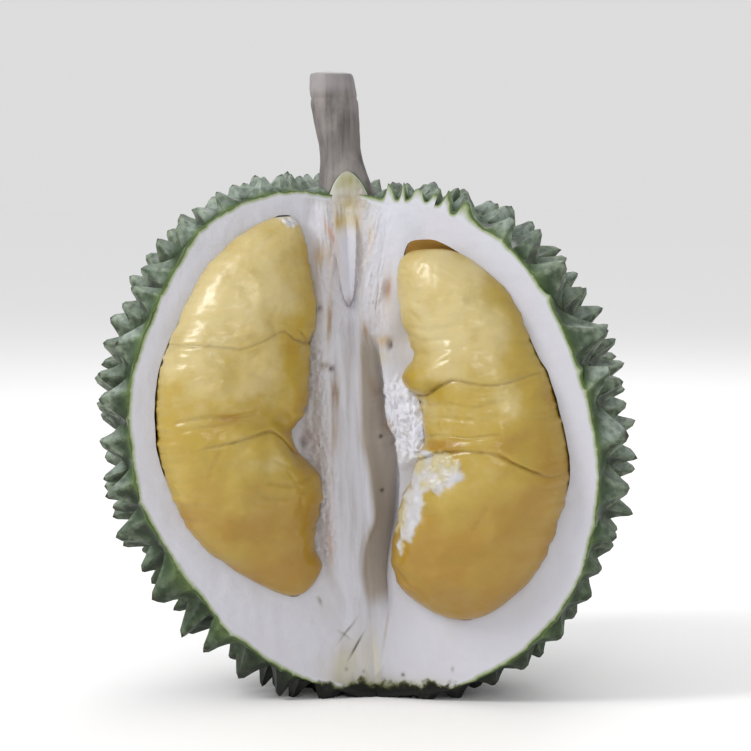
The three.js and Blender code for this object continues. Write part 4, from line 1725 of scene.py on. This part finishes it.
# Tints on the arils: place across and up, half width, half height, lean, and change of the yellow's depth,
# which carries painted shade too.
BLUSHES = {
    "left": [
        (52, 113, 8, 4, 0.0, 0.25),
        (54, 112.6, 3.2, 1.2, 0.0, 0.6),
        (29, 137, 5, 9, 0.0, 0.3),
        (27, 165, 5, 9, 0.0, 0.15),
        (60, 152, 9, 18, -0.4, -0.35),
        (42, 96, 10, 7, 0.0, -0.25),
        (36, 60, 14, 12, 0.0, 0.25),
        (25, 56, 6, 14, 0.0, 0.2),
    ],
    "right": [
        (24, 123, 5, 6, 0.0, 0.45),
        # Partly painted shade: deeper amber under the roll at the middle aril's lower edge.
        (38, 97.5, 11, 2.2, 0.0, 0.5),
        (66, 97, 9, 6, 0.0, 0.25),
        (46, 160, 12, 8, 0.0, -0.2),
        (64, 112, 6, 7, 0.0, -0.25),
        (40, 80, 14, 9, 0.2, -0.2),
        (22, 46, 9, 10, 0.0, 0.2),
        (42, 44, 14, 11, 0.0, 0.25),
        (70, 140, 5, 14, -0.5, 0.3),
    ],
}


def richness_and_shade(name, out, up, x):
    """How deep the yellow is at a place, from 0 to 1; deeper low down partly as painted shade from above.
    """
    # Deeper and darker low down: partly the aril's own colour, partly painted shade from above.
    if name == "left":
        rich_and_shaded = 0.92 - 0.76 * smooth(45, 160, up)
        rich_and_shaded += 0.3 * smooth(0.35, 0.95, -x) * smooth(60, 100, up)
    else:
        rich_and_shaded = 0.94 - 0.82 * smooth(40, 155, up)
        rich_and_shaded += 0.35 * smooth(0.35, 0.95, x)
    for at, at_up, half, half_up, slant, change in BLUSHES[name]:
        rich_and_shaded += change * bump(oval(out, up, at, at_up, half, half_up, slant), 1.0)
    return min(max(rich_and_shaded + 0.2 * grain(out / 11, up / 11, 51), 0), 1)


# The right-hand arils are torn only below this height.
TORN_RIGHT_BELOW = 100
# Where an aril's skin is torn and white: place across and up, half width, half height and lean.
TORN_PATCHES = {
    "left": [(20, 183.5, 12, 3.4, -0.12), (14, 176, 2.4, 8, 0.0)],
    "right": [(33, 87.5, 15, 8, 0.2), (22, 72, 7.5, 12.5, 0.3), (28, 93, 9, 3, 0.0)],
}


def torn_flesh(name, out, up):
    """From 0 to 1, where an aril's skin is torn and white."""
    if name == "right" and up > TORN_RIGHT_BELOW:
        return 0.0
    nearest = min(oval(out, up, *patch) for patch in TORN_PATCHES[name])
    ragged = nearest + 0.4 * grain(out / 5, up / 5, 61) + 0.2 * grain(out / 1.8, up / 1.8, 63)
    return 1 - smooth(0.72, 1.05, ragged)


def aril_material(finish):
    nodes = Nodes("creamy aril")
    rich_and_shaded = nodes.attribute("richness_and_shade")
    torn = nodes.attribute("torn")
    cloudy = nodes.noise(70, 5)
    fine = nodes.noise(380, 4)
    veins = nodes.noise(48, 6, 0.65)
    amount = nodes.math("ADD", rich_and_shaded, nodes.fit(cloudy, 0.3, 0.7, -0.14, 0.14))
    base = nodes.mix(nodes.fit(amount, 0.02, 0.55), finish.cream, finish.gold)
    base = nodes.mix(nodes.fit(amount, 0.5, 1.1), base, finish.amber)
    pale = nodes.fit(rich_and_shaded, 0.35, 0.9, 1, 0.15)
    milky = nodes.math("MULTIPLY", nodes.fit(veins, 0.5, 0.72, 0.0, 0.4), pale)
    base = nodes.mix(milky, base, finish.milky)
    base = nodes.mix(nodes.fit(veins, 0.5, 0.3, 0.0, 0.35), base, finish.vein)
    # Painted shade: the seams between the arils darken by their depth.
    base = nodes.mix(nodes.math("MULTIPLY", nodes.attribute("seam_shade"), 0.85), base, finish.seam_shade)
    soft = nodes.mix(nodes.fit(cloudy, 0.46, 0.6), finish.torn, finish.torn_cream)
    base = nodes.mix(torn, base, soft)
    normal = nodes.bump(nodes.noise(160, 6, 0.6, stretch=(1, 1, 1.6)), 0.55, 0.55 * MM)
    normal = nodes.bump(fine, 0.25, 0.25 * MM, normal)
    rough = nodes.fit(cloudy, 0.35, 0.7, 0.36, 0.52)
    rough = nodes.math("ADD", rough, nodes.math("MULTIPLY", torn, 0.3))
    return nodes.finish(
        base,
        rough,
        normal,
        Subsurface_Weight=0.2,
        Subsurface_Radius=(0.005, 0.003, 0.0012),
        Subsurface_Scale=1.0,
        Coat_Weight=0.45,
        Coat_Roughness=0.2,
    )


class BuildArils(bpy.types.Operator):
    """Makes the six arils, which fill the two pods"""

    bl_idname = "durian.build_arils"
    bl_label = "Arils"

    def execute(self, context):
        body = Body(context.scene)
        material = aril_material(context.scene.durian_finish)
        for name in PODS:
            for index, place in enumerate(ARIL_NAMES):
                bm = aril_bmesh(body, name, index)
                new_piece(f"flesh_{name}_{place}", bm, [material], [f"aril_{name}_{place}"])
        return {"FINISHED"}


# ------------------------------------------------------------------ stalk

# Height and radius in millimetres.
STALK = [
    (184, 8.6),
    (187.5, 9.8),
    (190.5, 10.2),
    (194, 9.6),
    (199, 8.5),
    (206.5, 7.5),
    (214.5, 8.1),
    (221, 8.5),
    (224.4, 8.7),
    (225.4, 8.5),
    (226.2, 8.3),
    (227, 8.5),
    (229, 8.5),
    (233, 8.1),
    (235.0, 7.6),
    (235.8, 6.6),
    (236.0, 5.0),
]
# Where the stalk leaves the crown, and how it leans and curls from there.
STALK_FOOT = (-8, 1.2, 193)
STALK_SLOPE = -0.145
STALK_CURL = 0.0005
STALK_STEPS, STALK_SIDES = 90, 96
# Vertices this near to each other are merged, in millimetres.
DOUBLES = 1e-5
# The stalk's cut end is a little hollow within this radius and this near its top.
CUT_END_RADIUS, CUT_END_DEPTH = 7.5, 0.3


def stalk_bmesh():
    """The stalk: a profile spun round, made a little uneven and bent."""
    bm = bmesh.new()
    low, high = STALK[0][0], STALK[-1][0]
    rows = [lerp(low, high, i / STALK_STEPS) for i in range(STALK_STEPS + 1)]
    profile = [Vector((0, 0, low)), *(Vector((along(STALK, z)[0], 0, z)) for z in rows)]
    profile.append(Vector((0, 0, high)))
    line = [bm.verts.new(p) for p in profile]
    edges = [bm.edges.new(pair) for pair in zip(line, line[1:])]
    bmesh.ops.spin(
        bm,
        geom=line + edges,
        cent=(0, 0, 0),
        axis=(0, 0, 1),
        angle=2 * math.pi,
        steps=STALK_SIDES,
        use_merge=True,
    )
    bmesh.ops.remove_doubles(bm, verts=bm.verts[:], dist=DOUBLES)
    for vert in bm.verts:
        x, y, z = vert.co
        ring = math.hypot(x, y)
        if ring > AT_POLE:
            turn = math.atan2(y, x)
            ribs = 0.12 * noise.noise(Vector((math.cos(turn) * 5, math.sin(turn) * 5, z / 30)))
            ribs += 0.05 * noise.noise(Vector((math.cos(turn) * 16, math.sin(turn) * 16, z / 12)))
            ring_wave = 0.16 * noise.noise(Vector((math.cos(turn), math.sin(turn), z / 4)))
            oval_share = 1 + 0.03 * math.cos(2 * turn)
            if z < high - 0.01:
                x *= oval_share + (ribs + ring_wave) / ring
                y *= oval_share + (ribs + ring_wave) / ring
        if ring < CUT_END_RADIUS and z > high - CUT_END_DEPTH:
            z += 0.12 * noise.noise(Vector((x / 2, y / 2, 0))) - 0.25 * bump(ring, 4)
        rise = z - STALK_FOOT[2]
        x += STALK_FOOT[0] + STALK_SLOPE * rise + STALK_CURL * rise * rise
        vert.co = Vector((x, y + STALK_FOOT[1], z)) * MM
    turn_outward(bm)
    return bm


# The bark turns pale between the first heights, and the cut end starts between the others.
PALE_BARK_HEIGHTS = (226 * MM, 232 * MM)
CUT_END_HEIGHTS = (235 * MM, 235.5 * MM)


def stalk_material(finish):
    nodes = Nodes("grey stalk bark")
    fibres = nodes.noise(300, 4, stretch=(1, 1, 0.08))
    cloudy = nodes.noise(80, 4)
    specks = nodes.cells(230)
    base = nodes.mix(nodes.fit(fibres, 0.35, 0.7), finish.stalk, finish.stalk_dark)
    base = nodes.mix(nodes.fit(cloudy, 0.45, 0.7, 0, 0.55), base, finish.stalk_pale)
    base = nodes.mix(nodes.fit(specks, 0.04, 0.12, 0.6, 0.0), base, finish.stalk_speck)
    height = nodes.height()
    base = nodes.mix(nodes.fit(height, *PALE_BARK_HEIGHTS, 0, 0.6), base, finish.stalk_top)
    cut = nodes.mix(nodes.fit(cloudy, 0.4, 0.6), finish.cut_wood, finish.cut_wood_dark)
    base = nodes.mix(nodes.fit(height, *CUT_END_HEIGHTS), base, cut)
    normal = nodes.bump(fibres, 0.5, 0.4 * MM)
    normal = nodes.bump(cloudy, 0.3, 0.5 * MM, normal)
    return nodes.finish(base, nodes.fit(fibres, 0.3, 0.7, 0.6, 0.8), normal)


class BuildStalk(bpy.types.Operator):
    """Makes the stalk with its node ring and its flared foot"""

    bl_idname = "durian.build_stalk"
    bl_label = "Stalk"

    def execute(self, context):
        material = stalk_material(context.scene.durian_finish)
        new_piece("grey_stalk", stalk_bmesh(), [material], ["stalk"])
        return {"FINISHED"}


# ------------------------------------------------------------------ stage


# Half the floor's width in metres.
FLOOR_REACH = 9
FLOOR_ROUGHNESS = 0.9
SKY_STRENGTH = 0.72
# Each light's name, place, width and height in metres, and power in watts.
LIGHTS = [
    ("key light", (-1.2, -0.62, 1.15), (0.4, 0.8), 14.5),
    ("front light", (-0.1, -1.4, 0.75), (0.3, 0.3), 1.8),
    ("rim light", (0.3, 1.0, 1.1), (0.8, 0.8), 5),
]
LIGHT_AIM = Vector((0, 0, 0.1))
CAMERA_AZIMUTH = math.radians(1)
CAMERA_ELEVATION = math.radians(5)
CAMERA_AIM = Vector((0.0034, 0, 0.1218))
CAMERA_DISTANCE = 0.948
# Focal length and sensor width in millimetres.
LENS = 120
SENSOR = 36


class BuildStage(bpy.types.Operator):
    """Adds the floor, the soft lights and the camera"""

    bl_idname = "durian.build_stage"
    bl_label = "Stage"

    def execute(self, context):
        scene = context.scene
        bm = bmesh.new()
        bmesh.ops.create_grid(bm, x_segments=1, y_segments=1, size=FLOOR_REACH)
        mesh = bpy.data.meshes.new("floor")
        bm.to_mesh(mesh)
        bm.free()
        floor = bpy.data.objects.new("floor", mesh)
        scene.collection.objects.link(floor)
        nodes = Nodes("pale floor")
        mesh.materials.append(nodes.finish(scene.durian_finish.floor, FLOOR_ROUGHNESS))
        floor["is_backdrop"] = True
        for name, place, size, power in LIGHTS:
            add_light(name, Vector(place), size, power)
        world = bpy.data.worlds.new("soft light")
        world.use_nodes = True
        background = world.node_tree.nodes["Background"]
        background.inputs["Color"].default_value = (1, 1, 1, 1)
        background.inputs["Strength"].default_value = SKY_STRENGTH
        scene.view_settings.view_transform = "Standard"
        scene.world = world
        add_camera(scene)
        return {"FINISHED"}


def add_light(name, place, size, power):
    lamp = bpy.data.lights.new(name, "AREA")
    lamp.shape = "RECTANGLE"
    lamp.size, lamp.size_y = size
    lamp.energy = power
    light = bpy.data.objects.new(name, lamp)
    light.location = place
    light.rotation_euler = (LIGHT_AIM - place).to_track_quat("-Z", "Y").to_euler()
    bpy.context.scene.collection.objects.link(light)


def add_camera(scene):
    level = math.cos(CAMERA_ELEVATION)
    x, y = math.sin(CAMERA_AZIMUTH) * level, -math.cos(CAMERA_AZIMUTH) * level
    back = Vector((x, y, math.sin(CAMERA_ELEVATION)))
    camera = bpy.data.objects.new("camera", bpy.data.cameras.new("camera"))
    camera.data.lens = LENS
    camera.data.sensor_width = SENSOR
    camera.location = CAMERA_AIM + back * CAMERA_DISTANCE
    camera.rotation_euler = (-back).to_track_quat("-Z", "Y").to_euler()
    scene.collection.objects.link(camera)
    scene.camera = camera


class DurianPanel(bpy.types.Panel):
    """Lists the steps that build the durian, and its sizes and colours"""

    bl_idname = "VIEW3D_PT_durian"
    bl_label = "Opened Durian"
    bl_space_type = "VIEW_3D"
    bl_region_type = "UI"
    bl_category = "Durian"

    def draw(self, context):
        column = self.layout.column(align=True)
        for step in STEPS:
            column.operator(step.bl_idname)
        for group in SETTINGS:
            box = self.layout.box()
            settings = getattr(context.scene, group)
            for name in settings.__annotations__:
                box.prop(settings, name)


STEPS = [BuildHusk, BuildPith, BuildArils, BuildStalk, BuildStage]
CLASSES = [*SETTINGS.values(), *STEPS, DurianPanel]


def register():
    for kind in CLASSES:
        bpy.utils.register_class(kind)
    for name, group in SETTINGS.items():
        setattr(bpy.types.Scene, name, PointerProperty(type=group))


def unregister():
    for name in SETTINGS:
        delattr(bpy.types.Scene, name)
    for kind in reversed(CLASSES):
        bpy.utils.unregister_class(kind)


def main():
    register()
    for step in STEPS:
        group, name = step.bl_idname.split(".")
        getattr(getattr(bpy.ops, group), name)()
    sizes = [[list(corner) for corner in box] for box in (CAD_BOX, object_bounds())]


if __name__ == "__main__":
    main()
